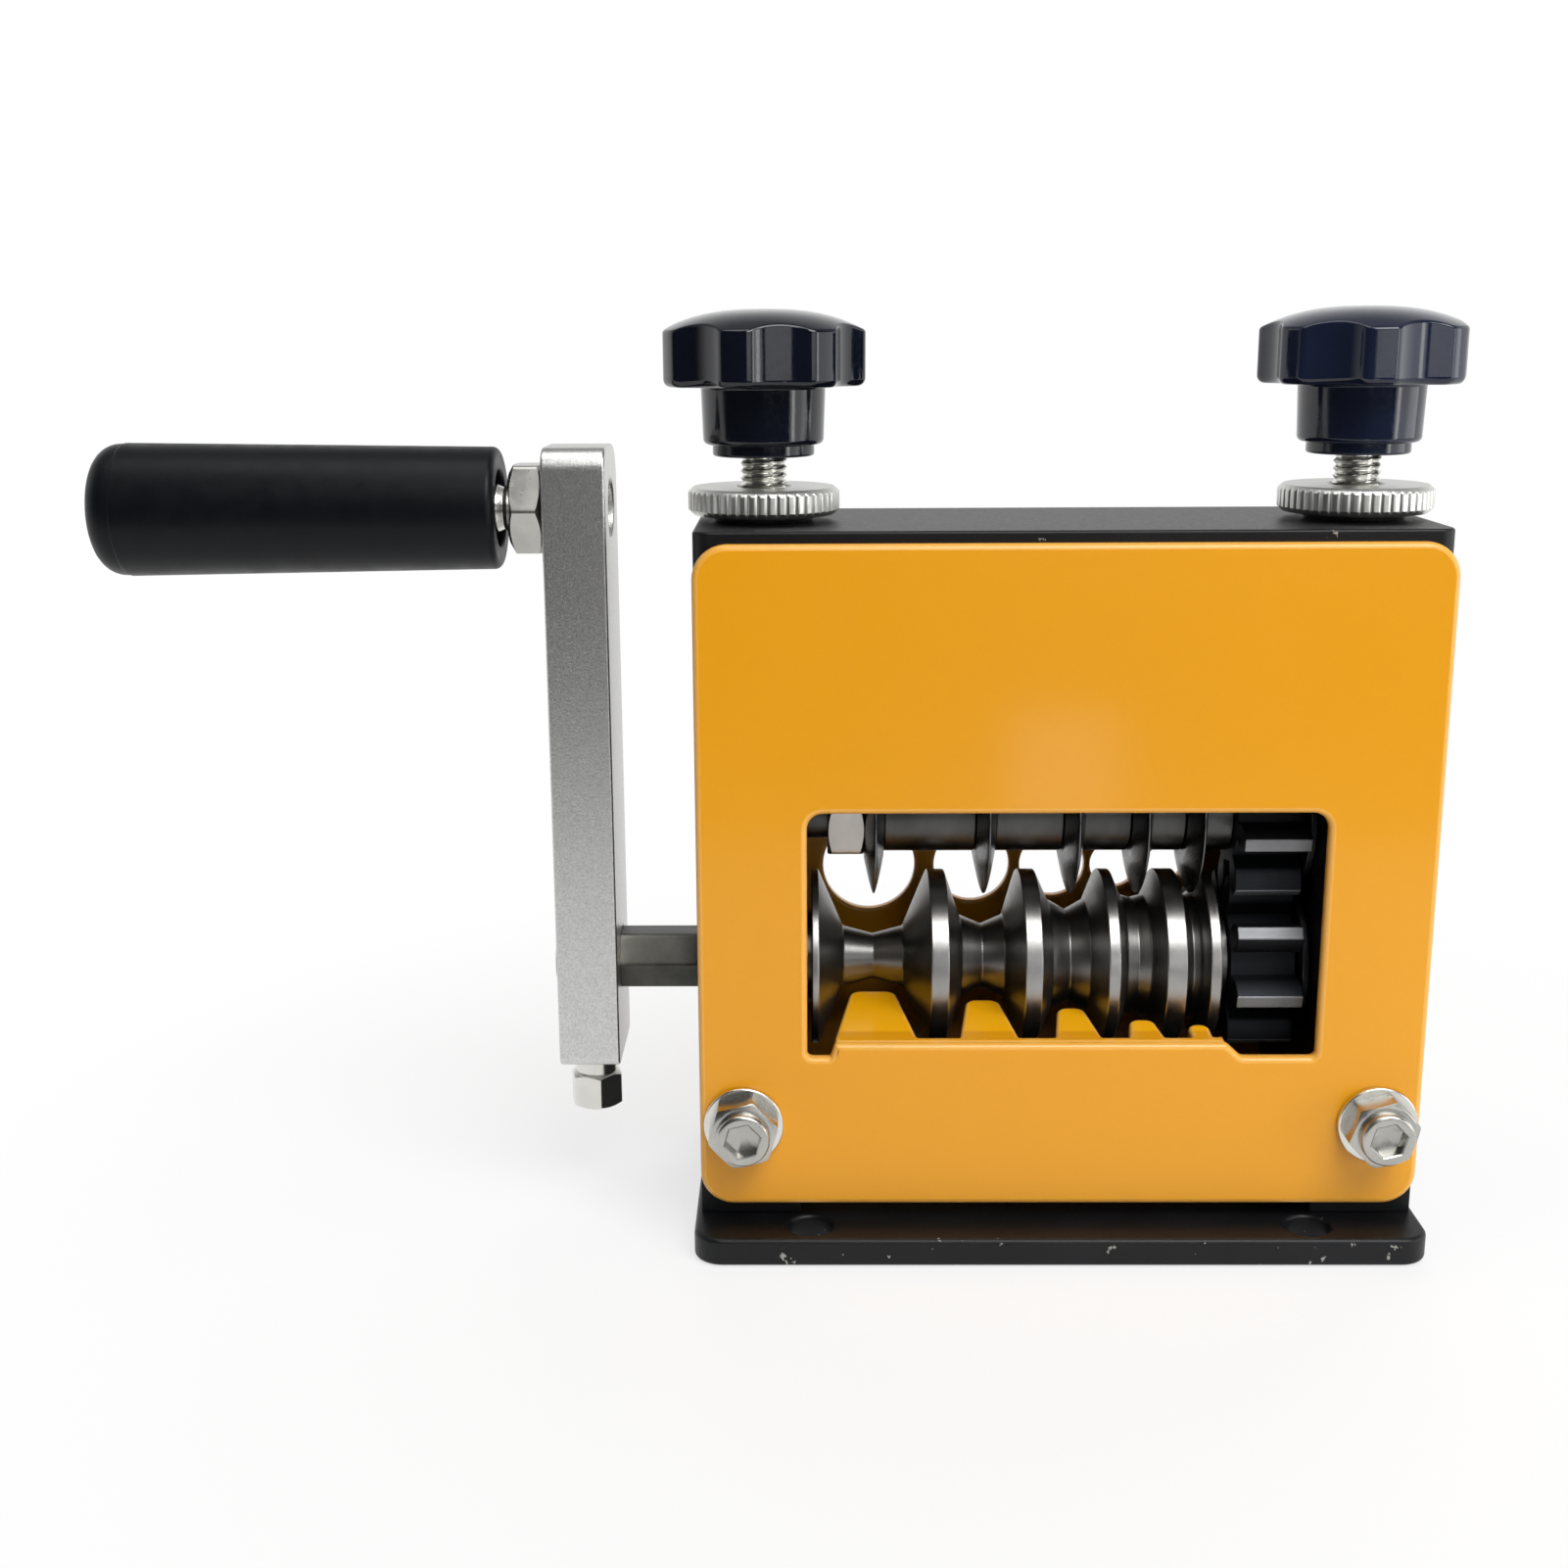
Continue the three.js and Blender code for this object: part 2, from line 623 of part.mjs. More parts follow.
function frameGroup() {
  const group = new THREE.Group();
  group.add(part("base_plate", basePlate(), blackCoat));
  group.add(part("left_side_block", sideBlock(-1), blackCoat));
  group.add(part("right_side_block", sideBlock(1), blackCoat));
  group.add(part("top_plate", topPlate(), blackCoat));
  group.add(part("front_panel", frontPanel(), yellowCoat));
  group.add(part("rear_panel", rearPanel(), yellowCoat));
  const washerTop = seatGap + washerThickness;
  const washer = ring(panelBoltRadius + boreGap, washerRadius, seatGap, washerTop, smallSegments);
  for (const [end, y, turn] of [["front", frontFace, 0], ["rear", -frontFace, Math.PI]]) {
    for (const [side, x] of [["left", -panelBoltX], ["right", panelBoltX]]) {
      const bolt = alongFront(panelBolt().translate(0, 0, washerTop + seatGap)).rotateZ(turn);
      const disc = alongFront(washer.clone()).rotateZ(turn);
      group.add(part(`${end}_${side}_bolt`, bolt, zinc, x, y, panelBoltHeight));
      group.add(part(`${end}_${side}_washer`, disc, zinc, x, y, panelBoltHeight));
    }
  }
  baseScrewPlaces().forEach(([x, y]) => {
    const place = `${y < 0 ? "front" : "rear"}_${x < 0 ? "left" : "right"}`;
    const side = Math.sign(x);
    const topX = side * (frameSide - seatGap);
    const topY = Math.sign(y) * topScrewY;
    const top = inwards(frameScrew(topScrewLength), side);
    group.add(part(`top_screw_${place}`, top, darkSteel, topX, topY, topScrewHeight));
    group.add(part(`base_screw_${place}`, frameScrew(baseScrewLength), darkSteel, x, y, seatGap));
  });
  return group;
}

// Bushes run from the side block's inner face into its bore. The flange is on the inner side.
function bush(journalRadius, length, flanged) {
  const inner = journalRadius + boreGap;
  const outer = inner + bushWall;
  if (!flanged) return ring(inner, outer, 0, length, fineSegments);
  const profile = [
    [inner, -bushFlangeThickness],
    [bushFlangeRadius, -bushFlangeThickness],
    [bushFlangeRadius, -seatGap],
    [outer, -seatGap],
    [outer, length],
    [inner, length],
    [inner, -bushFlangeThickness],
  ];
  return turned(profile, fineSegments);
}

function rollerBushes() {
  const left = alongX(bush(leftJournalRadius, sideThickness - journalShortfall, true)).rotateZ(Math.PI);
  const right = alongX(bush(rightJournalRadius, pocketDepth - journalShortfall, false));
  return [
    part("left_roller_bush", left, bronze, -sideInner, 0, rollerHeight),
    part("right_roller_bush", right, bronze, sideInner, 0, rollerHeight),
  ];
}

// Drive train
function rollerProfile() {
  const leftEnd = journalShortfall - frameSide;
  const rightEnd = sideInner + pocketDepth - journalShortfall;
  const profile = [
    [0, leftEnd],
    [leftJournalRadius, leftEnd],
    [leftJournalRadius, rollerLeft],
    [ridgeRadius, rollerLeft],
  ];
  grooves.forEach((groove, i) => {
    const start = grooveStart(i);
    const wall = (groove.width - groove.floor) / 2;
    profile.push(
      [ridgeRadius, start],
      [groove.floorRadius, start + wall],
      [groove.floorRadius - groove.vee, start + groove.width / 2],
      [groove.floorRadius, start + groove.width - wall],
      [ridgeRadius, start + groove.width],
    );
  });
  profile.push(
    [ridgeRadius, rollerRight],
    [rollerCollarRadius, rollerRight],
    [rollerCollarRadius, gearLeft - seatGap],
    [rightJournalRadius, gearLeft - seatGap],
    [rightJournalRadius, rightEnd],
    [0, rightEnd],
  );
  return profile;
}

// The flat cut along a shaft where a gear sits on it, at the top of the shaft.
function shaftFlat(radius) {
  const height = radius;
  return block(
    gearFace,
    2 * radius + overshoot,
    height,
    gearLeft + gearFace / 2,
    0,
    radius - gearBoreFlat + height / 2,
  );
}

function feedRoller() {
  const body = alongX(turned(rollerProfile(), fineSegments));
  const socketShape = polygon(6, driveBarAcrossFlats + 2 * boreGap);
  const socket = alongX(slab(socketShape, driveSocketDepth)).translate(-frameSide, 0, 0);
  return cut(body, socket, drivePinHole(), shaftFlat(rightJournalRadius));
}

function drivePinHole() {
  const reach = leftJournalRadius + overshoot;
  const hole = alongFront(rod(drivePinRadius + boreGap, -reach, reach, smallSegments));
  return hole.translate(drivePinX, 0, 0);
}

function driveBar() {
  const start = armOuter - driveBarProud;
  const end = -frameSide + driveSocketDepth - seatGap;
  const bar = alongX(slab(polygon(6, driveBarAcrossFlats), end - start, driveBarEdge));
  return cut(bar.translate(start, 0, 0), drivePinHole());
}

function involute(angle) {
  return Math.tan(angle) - angle;
}

// One flank of a tooth as [radius, half angle] pairs, from the root up to the tip.
function toothFlank() {
  const baseRadius = gearPitchRadius * Math.cos(gearPressureAngle);
  const tipRadius = gearPitchRadius + gearAddendum;
  const atPitch = Math.PI / (2 * gearTeeth) - gearBacklash / (4 * gearPitchRadius);
  const atBase = atPitch + involute(gearPressureAngle);
  const flank = [[gearPitchRadius - gearDedendum, atBase - gearUndercut]];
  for (let i = 0; i <= gearFlankSteps; i++) {
    const radius = baseRadius + ((tipRadius - baseRadius) * i) / gearFlankSteps;
    flank.push([radius, atBase - involute(Math.acos(baseRadius / radius))]);
  }
  return flank;
}

// The outline of a gear whose first tooth points along its own X before it is turned.
function gearOutline(turn) {
  const flank = toothFlank();
  const points = [];
  for (let tooth = 0; tooth < gearTeeth; tooth++) {
    const middle = turn + (tooth * 2 * Math.PI) / gearTeeth;
    const rising = flank.map(([radius, half]) => [radius, middle - half]);
    const falling = flank.map(([radius, half]) => [radius, middle + half]).reverse();
    for (const [radius, angle] of [...rising, ...falling]) {
      points.push(new THREE.Vector2(radius * Math.cos(angle), radius * Math.sin(angle)));
    }
  }
  return new THREE.Shape(points);
}

// The bore keeps its flat at the top, on the shaft's own flat, whichever way the teeth are turned.
function gear(shaftRadius, turn) {
  const boreRadius = shaftRadius + boreGap;
  const shape = gearOutline(turn);
  const flatAngle = Math.acos((shaftRadius - gearBoreFlat + seatGap) / boreRadius);
  const bore = new THREE.Path();
  bore.absarc(0, 0, boreRadius, Math.PI / 2 - flatAngle, Math.PI / 2 + flatAngle, true);
  shape.holes.push(bore);
  return alongX(slab(shape, gearFace, 0, 1, gearBoreSteps)).translate(gearLeft, 0, 0);
}

function crankArm() {
  const half = armWidth / 2;
  const outline = new THREE.Shape();
  outline.moveTo(-half + armCorner, -armBelow);
  outline.lineTo(half - armCorner, -armBelow);
  outline.absarc(half - armCorner, -armBelow + armCorner, armCorner, -Math.PI / 2, 0);
  outline.absarc(0, crankRadius, half, 0, Math.PI);
  outline.absarc(-half + armCorner, -armBelow + armCorner, armCorner, Math.PI, Math.PI * 1.5);
  outline.holes.push(circle(0, crankRadius, spindleRadius + boreGap));
  const hexHole = polygon(6, driveBarAcrossFlats + 2 * boreGap);
  outline.holes.push(new THREE.Path(hexHole.getPoints()));
  const arm = alongX(slab(outline, armThickness, armEdge, 1, armEndSteps)).translate(armOuter, 0, 0);
  const boltHole = rod(setBoltRadius + boreGap, -armBelow - overshoot, 0, smallSegments);
  return cut(arm, boltHole.translate(armOuter + armThickness / 2, 0, 0));
}

function setBolt() {
  const tip = -driveBarAcrossFlats / 2 - seatGap;
  const headTop = -armBelow - setBoltGap;
  const shank = rod(setBoltRadius, headTop - overshoot, tip, smallSegments);
  const head = hexBlank(setBoltAcrossFlats, setBoltHead).translate(0, 0, headTop - setBoltHead);
  return join(shank, head);
}

function handleNut() {
  const blank = hexBlank(handleNutAcrossFlats, handleNutThickness);
  const bore = rod(spindleRadius + boreGap, -overshoot, handleNutThickness + overshoot);
  return cut(blank, bore);
}

// Handle pieces are built along +X from the arm's outer face towards the free end, then turned to -X.
function handleSpindle() {
  const collar = spindleCollarStart;
  const pinEnd = gripStart + gripLength - gripBoreStop - runningGap;
  const start = spindleRecess - armThickness;
  const body = turned([
    [0, start],
    [spindleRadius, start],
    [spindleRadius, collar],
    [spindleRadius + spindleCollarStep, collar],
    [spindleCollarRadius, collar + spindleCollarLength / 2],
    [spindleCollarRadius, collar + spindleCollarLength],
    [spindleRadius, collar + spindleCollarLength],
    [spindleRadius, pinEnd],
    [0, pinEnd],
  ]);
  const socket = slab(polygon(6, panelSocketAcrossFlats), panelSocketDepth + overshoot);
  return cut(body, socket.translate(0, 0, start - overshoot));
}

function handleGrip() {
  const taper = (gripOuterRadius - gripInnerRadius) / gripLength;
  const boreRadius = spindleRadius + boreGap;
  const profile = [
    [0, gripLength - gripBoreStop],
    [boreRadius, gripLength - gripBoreStop],
    [boreRadius, gripRecessDepth],
    [gripRecessRadius, gripRecessDepth],
    [gripRecessRadius, 0],
    [gripInnerRadius - gripInnerChamfer, 0],
    [gripInnerRadius + taper * gripInnerChamfer, gripInnerChamfer],
  ];
  const inset = gripOuterRadius - gripEndRounding;
  for (let i = 0; i <= gripEndSteps; i++) {
    const angle = (i * Math.PI) / 2 / gripEndSteps;
    const height = gripLength - gripEndRounding * (1 - Math.sin(angle));
    profile.push([inset + gripEndRounding * Math.cos(angle), height]);
  }
  profile.push([0, gripLength]);
  return turned(profile);
}

function thrustWasher(journalRadius) {
  return alongX(ring(journalRadius + boreGap, thrustWasherRadius, 0, thrustWasherThickness));
}

function driveGroup() {
  const group = new THREE.Group();
  group.position.set(0, 0, rollerHeight);
  const pinReach = leftJournalRadius - drivePinInset;
  const pin = alongFront(rod(drivePinRadius, -pinReach, pinReach, smallSegments));
  const gearTurn = Math.PI / 2 + gearMeshTurn;
  group.add(part("feed_roller", feedRoller(), turnedSteel));
  group.add(part("hex_drive_bar", driveBar(), darkSteel));
  group.add(part("drive_bar_pin", pin, darkSteel, drivePinX));
  group.add(part("drive_gear", gear(rightJournalRadius, gearTurn), gearSteel));
  const washer = thrustWasher(rightJournalRadius);
  group.add(part("roller_thrust_washer", washer, darkSteel, gearRight + runningGap));
  group.add(part("crank_arm", crankArm(), aluminium));
  group.add(part("crank_set_bolt", setBolt(), zinc, armOuter + armThickness / 2));
  const handle = new THREE.Group();
  handle.position.set(armOuter, 0, crankRadius);
  handle.rotation.y = -Math.PI / 2;
  handle.add(part("handle_spindle", handleSpindle(), zinc));
  handle.add(part("handle_nut", handleNut(), zinc, 0, 0, seatGap));
  handle.add(part("handle_grip", handleGrip(), gripPlastic, 0, 0, gripStart));
  group.add(handle);
  return group;
}

// Blade shaft
function bladeShaft() {
  const rightEnd = sideInner + blockThickness - journalShortfall;
  const collarLeft = grooveCentres.at(-1) + bladeThickness / 2 + seatGap;
  const body = alongX(
    turned([
      [0, -rightEnd],
      [bladeJournalRadius, -rightEnd],
      [bladeJournalRadius, runningGap - sideInner],
      [bladeShaftRadius, runningGap - sideInner],
      [bladeShaftRadius, collarLeft],
      [spacerRadius, collarLeft],
      [spacerRadius, gearLeft - seatGap],
      [bladeShaftRadius, gearLeft - seatGap],
      [bladeShaftRadius, rightEnd],
      [0, rightEnd],
    ]),
  );
  return cut(body, shaftFlat(bladeShaftRadius));
}

// A disc blade with both faces ground towards a thin edge.
function blade() {
  const bore = bladeShaftRadius + boreGap;
  const side = [[bore, bladeThickness / 2]];
  for (let i = 0; i <= bladeBevelSteps; i++) {
    const t = i / bladeBevelSteps;
    const half = (bladeEdge + (bladeThickness - bladeEdge) * (1 - t) ** bladeBevelPower) / 2;
    side.push([bladeFlatRadius + (bladeRadius - bladeFlatRadius) * t, half]);
  }
  const left = side.map(([radius, half]) => [radius, -half]);
  return alongX(turned([...left, ...side.reverse(), left[0]], fineSegments));
}

function bladeNut() {
  const blank = hexBlank(bladeNutAcrossFlats, bladeNutThickness);
  const bore = rod(bladeShaftRadius + boreGap, -overshoot, bladeNutThickness + overshoot);
  return alongX(cut(blank, bore));
}

function bladeGroup() {
  const group = new THREE.Group();
  group.add(part("blade_shaft", bladeShaft(), darkSteel));
  grooveCentres.forEach((x, i) => {
    group.add(part(`blade_${i + 1}`, blade(), bladeSteel, x));
  });
  for (let i = 0; i + 1 < grooveCentres.length; i++) {
    const start = grooveCentres[i] + bladeThickness / 2 + seatGap;
    const length = grooveCentres[i + 1] - bladeThickness / 2 - seatGap - start;
    const spacer = alongX(ring(bladeShaftRadius + boreGap, spacerRadius, 0, length));
    group.add(part(`blade_spacer_${i + 1}`, spacer, darkSteel, start));
  }
  const nutX = grooveCentres[0] - bladeThickness / 2 - seatGap - bladeNutThickness;
  group.add(part("blade_nut", bladeNut(), darkSteel, nutX));
  const gearTurn = Math.PI / gearTeeth - Math.PI / 2 - gearMeshTurn;
  group.add(part("blade_gear", gear(bladeShaftRadius, gearTurn), gearSteel));
  const washer = thrustWasher(bladeShaftRadius);
  group.add(part("blade_thrust_washer", washer, darkSteel, gearRight + runningGap));
  return group;
}

// A slot cut outwards from the block's inner face to the stud, with a round end about the stud.
function studSlot(side, radius, bottom, top) {
  const inner = sideInner - overshoot;
  const length = studX - inner;
  const middle = side * (inner + length / 2);
  const straight = block(length, 2 * radius, top - bottom, middle, 0, (top + bottom) / 2);
  const round = rod(radius, bottom, top, smallSegments).translate(side * studX, 0, 0);
  return [straight, round];
}

// A bearing block with a bore for its bush and a slot on top that holds the stud's button.
function bearingBlock(side) {
  const height = blockBelow + blockAbove;
  const outline = roundedRectangle(-blockWidth / 2, -blockBelow, blockWidth, height, blockCorner);
  const start = side < 0 ? -sideInner - boreGap - blockThickness : sideInner + boreGap;
  const body = alongX(slab(outline, blockThickness, blockEdge)).translate(start, 0, 0);
  const journalRadius = side < 0 ? bladeJournalRadius : bladeShaftRadius;
  const boreRadius = journalRadius + boreGap + bushWall + seatGap;
  const end = start + blockThickness;
  const bore = alongX(rod(boreRadius, start - overshoot, end + overshoot, fineSegments));
  const neckBottom = blockAbove - studNeckLength;
  const neck = studSlot(side, studNeckRadius + runningGap, neckBottom, blockAbove + overshoot);
  const buttonTop = neckBottom + studButtonLift + runningGap;
  const buttonBottom = buttonTop - studButtonThickness - 2 * runningGap;
  const button = studSlot(side, studButtonRadius + runningGap, buttonBottom, buttonTop);
  return cut(body, bore, ...neck, ...button);
}

function bladeBush(side) {
  const journalRadius = side < 0 ? bladeJournalRadius : bladeShaftRadius;
  const length = blockThickness - journalShortfall;
  const start = side < 0 ? -sideInner - boreGap - length : sideInner + boreGap;
  return alongX(bush(journalRadius, length, false)).translate(start, 0, 0);
}

// Knob screw pieces, built about the stud's own axis with z measured from the base underside.
function adjustingStud() {
  const shoulder = bladeHeight + blockAbove + runningGap;
  const neckEnd = bladeHeight + blockAbove - studNeckLength + studButtonLift;
  const buttonEnd = neckEnd - studButtonThickness;
  return turned(
    [
      [0, buttonEnd],
      [studButtonRadius, buttonEnd],
      [studButtonRadius, neckEnd],
      [studNeckRadius, neckEnd],
      [studNeckRadius, shoulder],
      [studRadius, shoulder],
      [studRadius, knobBase + studGrip],
      [0, knobBase + studGrip],
    ],
    smallSegments,
  );
}

// A valley between two lobes points along +X.
function lobedOutline() {
  const points = [];
  const steps = knobLobes * knobLobeSteps;
  for (let i = 0; i < steps; i++) {
    const angle = (i * 2 * Math.PI) / steps;
    const valley = ((1 + Math.cos(knobLobes * angle)) / 2) ** knobValleyPower;
    const radius = knobRadius - knobLobeDepth * valley;
    points.push(new THREE.Vector2(radius * Math.cos(angle), radius * Math.sin(angle)));
  }
  return new THREE.Shape(points);
}

// A domed head with lobes round it, on a plain hub with a narrower collar.
function knob() {
  const headHeight = knobRimHeight + knobDome;
  const prism = slab(lobedOutline(), headHeight + knobEdge, knobEdge);
  const domeRadius = knobRadius + boreGap;
  const dome = [[0, -overshoot], [domeRadius, -overshoot]];
  for (let i = 0; i <= knobDomeSteps; i++) {
    const share = 1 - i / knobDomeSteps;
    dome.push([domeRadius * share, knobRimHeight + knobDome * (1 - share ** 2)]);
  }
  const head = common(prism, turned(dome, fineSegments)).translate(0, 0, knobHubHeight);
  const hub = turned([
    [0, 0],
    [knobCollarRadius, 0],
    [knobCollarRadius, knobCollarHeight],
    [knobHubRadius - knobHubRounding, knobCollarHeight],
    [knobHubRadius, knobCollarHeight + knobHubRounding],
    [knobHubRadius, knobHubHeight + overshoot],
    [0, knobHubHeight + overshoot],
  ]);
  const bore = rod(studRadius + boreGap, -overshoot, studGrip + seatGap, smallSegments);
  return cut(join(head, hub), bore);
}

// A thin round nut with straight flutes round its rim and a smaller boss underneath.
function lockNut() {
  const points = [];
  for (let i = 0; i < 2 * lockNutFlutes; i++) {
    const angle = (i * Math.PI) / lockNutFlutes;
    const radius = lockNutRadius - (i % 2) * lockNutFluteDepth;
    points.push(new THREE.Vector2(radius * Math.cos(angle), radius * Math.sin(angle)));
  }
  const rim = slab(new THREE.Shape(points), lockNutThickness, lockNutEdge);
  const body = rim.translate(0, 0, lockNutBossHeight);
  const boss = rod(lockNutBossRadius, 0, lockNutBossHeight + overshoot);
  const height = lockNutBossHeight + lockNutThickness;
  const bore = rod(studRadius + 2 * boreGap, -overshoot, height + overshoot, smallSegments);
  return cut(join(body, boss), bore);
}

function carriageGroup() {
  const group = new THREE.Group();
  group.position.set(0, 0, bladeHeight);
  group.add(bladeGroup());
  for (const [side, sign, turn] of [["left", -1, leftKnobTurn], ["right", 1, rightKnobTurn]]) {
    group.add(part(`${side}_bearing_block`, bearingBlock(sign), darkSteel));
    group.add(part(`${side}_blade_bush`, bladeBush(sign), bronze));
    const screw = new THREE.Group();
    screw.position.set(sign * studX, 0, -bladeHeight);
    screw.rotation.z = turn;
    screw.add(part(`${side}_adjusting_stud`, adjustingStud(), zinc));
    screw.add(part(`${side}_knob`, knob(), phenolic, 0, 0, knobBase));
    group.add(screw);
  }
  return group;
}

const machine = new THREE.Group();
machine.add(frameGroup(), ...rollerBushes(), driveGroup(), carriageGroup());
for (const [side, sign] of [["left", -1], ["right", 1]]) {
  machine.add(part(`${side}_lock_nut`, lockNut(), zinc, sign * studX, 0, frameTop + seatGap));
}

export default machine;
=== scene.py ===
import json
import math

import bmesh
import bpy
from mathutils import Matrix, Vector

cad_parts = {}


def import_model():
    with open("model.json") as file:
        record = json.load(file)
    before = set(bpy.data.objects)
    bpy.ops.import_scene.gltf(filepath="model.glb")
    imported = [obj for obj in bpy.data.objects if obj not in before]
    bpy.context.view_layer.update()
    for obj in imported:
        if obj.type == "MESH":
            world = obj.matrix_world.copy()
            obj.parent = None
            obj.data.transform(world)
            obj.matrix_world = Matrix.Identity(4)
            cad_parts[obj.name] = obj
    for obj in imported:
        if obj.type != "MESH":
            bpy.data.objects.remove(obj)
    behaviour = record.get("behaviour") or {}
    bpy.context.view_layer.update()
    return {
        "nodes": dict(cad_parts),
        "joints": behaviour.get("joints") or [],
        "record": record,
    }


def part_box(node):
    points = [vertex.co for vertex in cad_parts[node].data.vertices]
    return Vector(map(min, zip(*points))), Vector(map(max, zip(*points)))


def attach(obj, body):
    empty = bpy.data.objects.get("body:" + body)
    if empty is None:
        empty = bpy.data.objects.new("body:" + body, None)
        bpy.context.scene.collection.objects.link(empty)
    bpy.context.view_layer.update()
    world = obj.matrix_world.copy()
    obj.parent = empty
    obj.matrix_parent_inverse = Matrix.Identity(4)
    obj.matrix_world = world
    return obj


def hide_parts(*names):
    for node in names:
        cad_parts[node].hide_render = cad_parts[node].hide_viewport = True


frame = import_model()

# Sizes are millimetres. X runs along the rollers with the crank at -X, -Y is the front, Z is up.
MM = 0.001
SHARP = math.radians(34)  # edges that bend more than this stay crisp
FINEST = 192  # columns round the largest turned form
FINE = 144
ROUND = 96
SMALL = 48

# Places and slots that the frame gives
joints = {joint["name"]: joint for joint in frame["joints"]}
ROLLER_Z = joints["crank_turn"]["pos_m"][2] / MM
BLADE_Z = joints["blade_spin"]["pos_m"][2] / MM
HANDLE_Z = joints["grip_spin"]["pos_m"][2] / MM
STUD_X = joints["right_knob_turn"]["pos_m"][0] / MM
SLOTS = {entry["node"]: entry["material_slot"] for entry in frame["record"]["subparts"]}


def node_box(node):
    """The lowest and the highest corner of a node, in millimetres."""
    low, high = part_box(node)
    return Vector(low) / MM, Vector(high) / MM


# Outlines and profiles: a point is x, y and a rounding radius, which may be left out
def round_corner(before, corner, after, radius, steps):
    to_before = (before - corner).normalized()
    to_after = (after - corner).normalized()
    half = to_before.angle(to_after) / 2
    centre = corner + (to_before + to_after).normalized() * radius / math.sin(half)
    start = corner + to_before * radius / math.tan(half) - centre
    end = corner + to_after * radius / math.tan(half) - centre
    first = math.atan2(start.y, start.x)
    sweep = math.remainder(math.atan2(end.y, end.x) - first, 2 * math.pi)
    angles = [first + sweep * i / steps for i in range(steps + 1)]
    return [centre + radius * Vector((math.cos(a), math.sin(a))) for a in angles]


def rounded(points, closed=False, steps=5):
    flat = [Vector(point[:2]) for point in points]
    result = []
    for i, point in enumerate(points):
        end = not closed and i in (0, len(points) - 1)
        if len(point) < 3 or end:
            result.append(flat[i])
            continue
        after = flat[(i + 1) % len(points)]
        result += round_corner(flat[i - 1], flat[i], after, point[2], steps)
    return result


def circle(x, y, radius, steps=SMALL):
    angles = [2 * math.pi * i / steps for i in range(steps)]
    return [Vector((x + radius * math.cos(a), y + radius * math.sin(a))) for a in angles]


def rectangle(left, bottom, right, top, radius, steps=10):
    corners = [(left, bottom, radius), (right, bottom, radius), (right, top, radius), (left, top, radius)]
    return rounded(corners, closed=True, steps=steps)


# Meshes
def value(entry, angle):
    """A number as it is, or what a function gives for the angle."""
    return entry(angle) if callable(entry) else entry


def form(rows, steps=ROUND):
    """Rings about the Z axis. A row is a radius and a height, each a number or a function of the angle."""
    bm = bmesh.new()
    angles = [2 * math.pi * i / steps for i in range(steps)]
    rings = []
    for radius, height in rows:
        if radius == 0:
            rings.append([bm.verts.new((0, 0, height * MM))])
            continue
        ring = []
        for angle in angles:
            reach = value(radius, angle) * MM
            place = (reach * math.cos(angle), reach * math.sin(angle), value(height, angle) * MM)
            ring.append(bm.verts.new(place))
        rings.append(ring)
    for low, high in zip(rings, rings[1:]):
        for i in range(steps):
            j = i + 1
            corners = [low[i % len(low)], low[j % len(low)], high[j % len(high)], high[i % len(high)]]
            corners = list(dict.fromkeys(corners))
            if len(corners) > 2:
                bm.faces.new(corners)
    bmesh.ops.remove_doubles(bm, verts=bm.verts, dist=1e-7)
    bmesh.ops.recalc_face_normals(bm, faces=bm.faces)
    return bm


def turned(profile, steps=ROUND, rounding=4):
    """A form turned from radius and height pairs, each with an optional edge rounding."""
    return form([tuple(point) for point in rounded(profile, steps=rounding)], steps)


def ring(inner, outer, low, high, edge):
    """A flat ring about the Z axis, which starts and ends half way up its bore."""
    profile = [(inner, (low + high) / 2), (inner, low, edge), (outer, low, edge), (outer, high, edge)]
    profile += [(inner, high, edge), (inner, (low + high) / 2)]
    return turned(profile)


def spline_from(curve, points):
    spline = curve.splines.new("POLY")
    spline.points.add(len(points) - 1)
    for target, point in zip(spline.points, points):
        target.co = (point.x * MM, point.y * MM, 0, 1)
    spline.use_cyclic_u = True


RIM = "rim"  # the attribute that is 1 on the edges of a plate
FLAT_ENOUGH = 0.985  # how much of a face's normal lies along the plate's, if the face isn't part of an edge
WELD = 1e-6  # vertices nearer than this, in metres, become one


def plate(outline, holes, thickness, edge, resolution=3):
    """A plate lying on z = 0, all its edges rounded and marked. Outline and holes run anticlockwise."""
    curve = bpy.data.curves.new("plate", "CURVE")
    curve.dimensions = "2D"
    curve.fill_mode = "BOTH"
    curve.extrude = (thickness / 2 - edge) * MM
    curve.bevel_depth = edge * MM
    curve.bevel_resolution = resolution
    curve.offset = -edge * MM
    spline_from(curve, outline)
    for hole in holes:
        spline_from(curve, hole[::-1])
    holder = bpy.data.objects.new("plate", curve)
    bpy.context.scene.collection.objects.link(holder)
    graph = bpy.context.evaluated_depsgraph_get()
    mesh = bpy.data.meshes.new_from_object(holder.evaluated_get(graph))
    bm = bmesh.new()
    bm.from_mesh(mesh)
    bpy.data.objects.remove(holder)
    bpy.data.meshes.remove(mesh)
    bmesh.ops.remove_doubles(bm, verts=bm.verts, dist=WELD)
    bmesh.ops.translate(bm, verts=bm.verts, vec=(0, 0, thickness / 2 * MM))
    bmesh.ops.recalc_face_normals(bm, faces=bm.faces)
    rim = bm.faces.layers.float.new(RIM)
    for face in bm.faces:
        face[rim] = 1.0 if abs(face.normal.z) < FLAT_ENOUGH else 0.0
    return bm


def moved(bm, matrix):
    bmesh.ops.transform(bm, matrix=matrix, verts=bm.verts)
    return bm


def shift(x, y, z):
    return Matrix.Translation(Vector((x, y, z)) * MM)


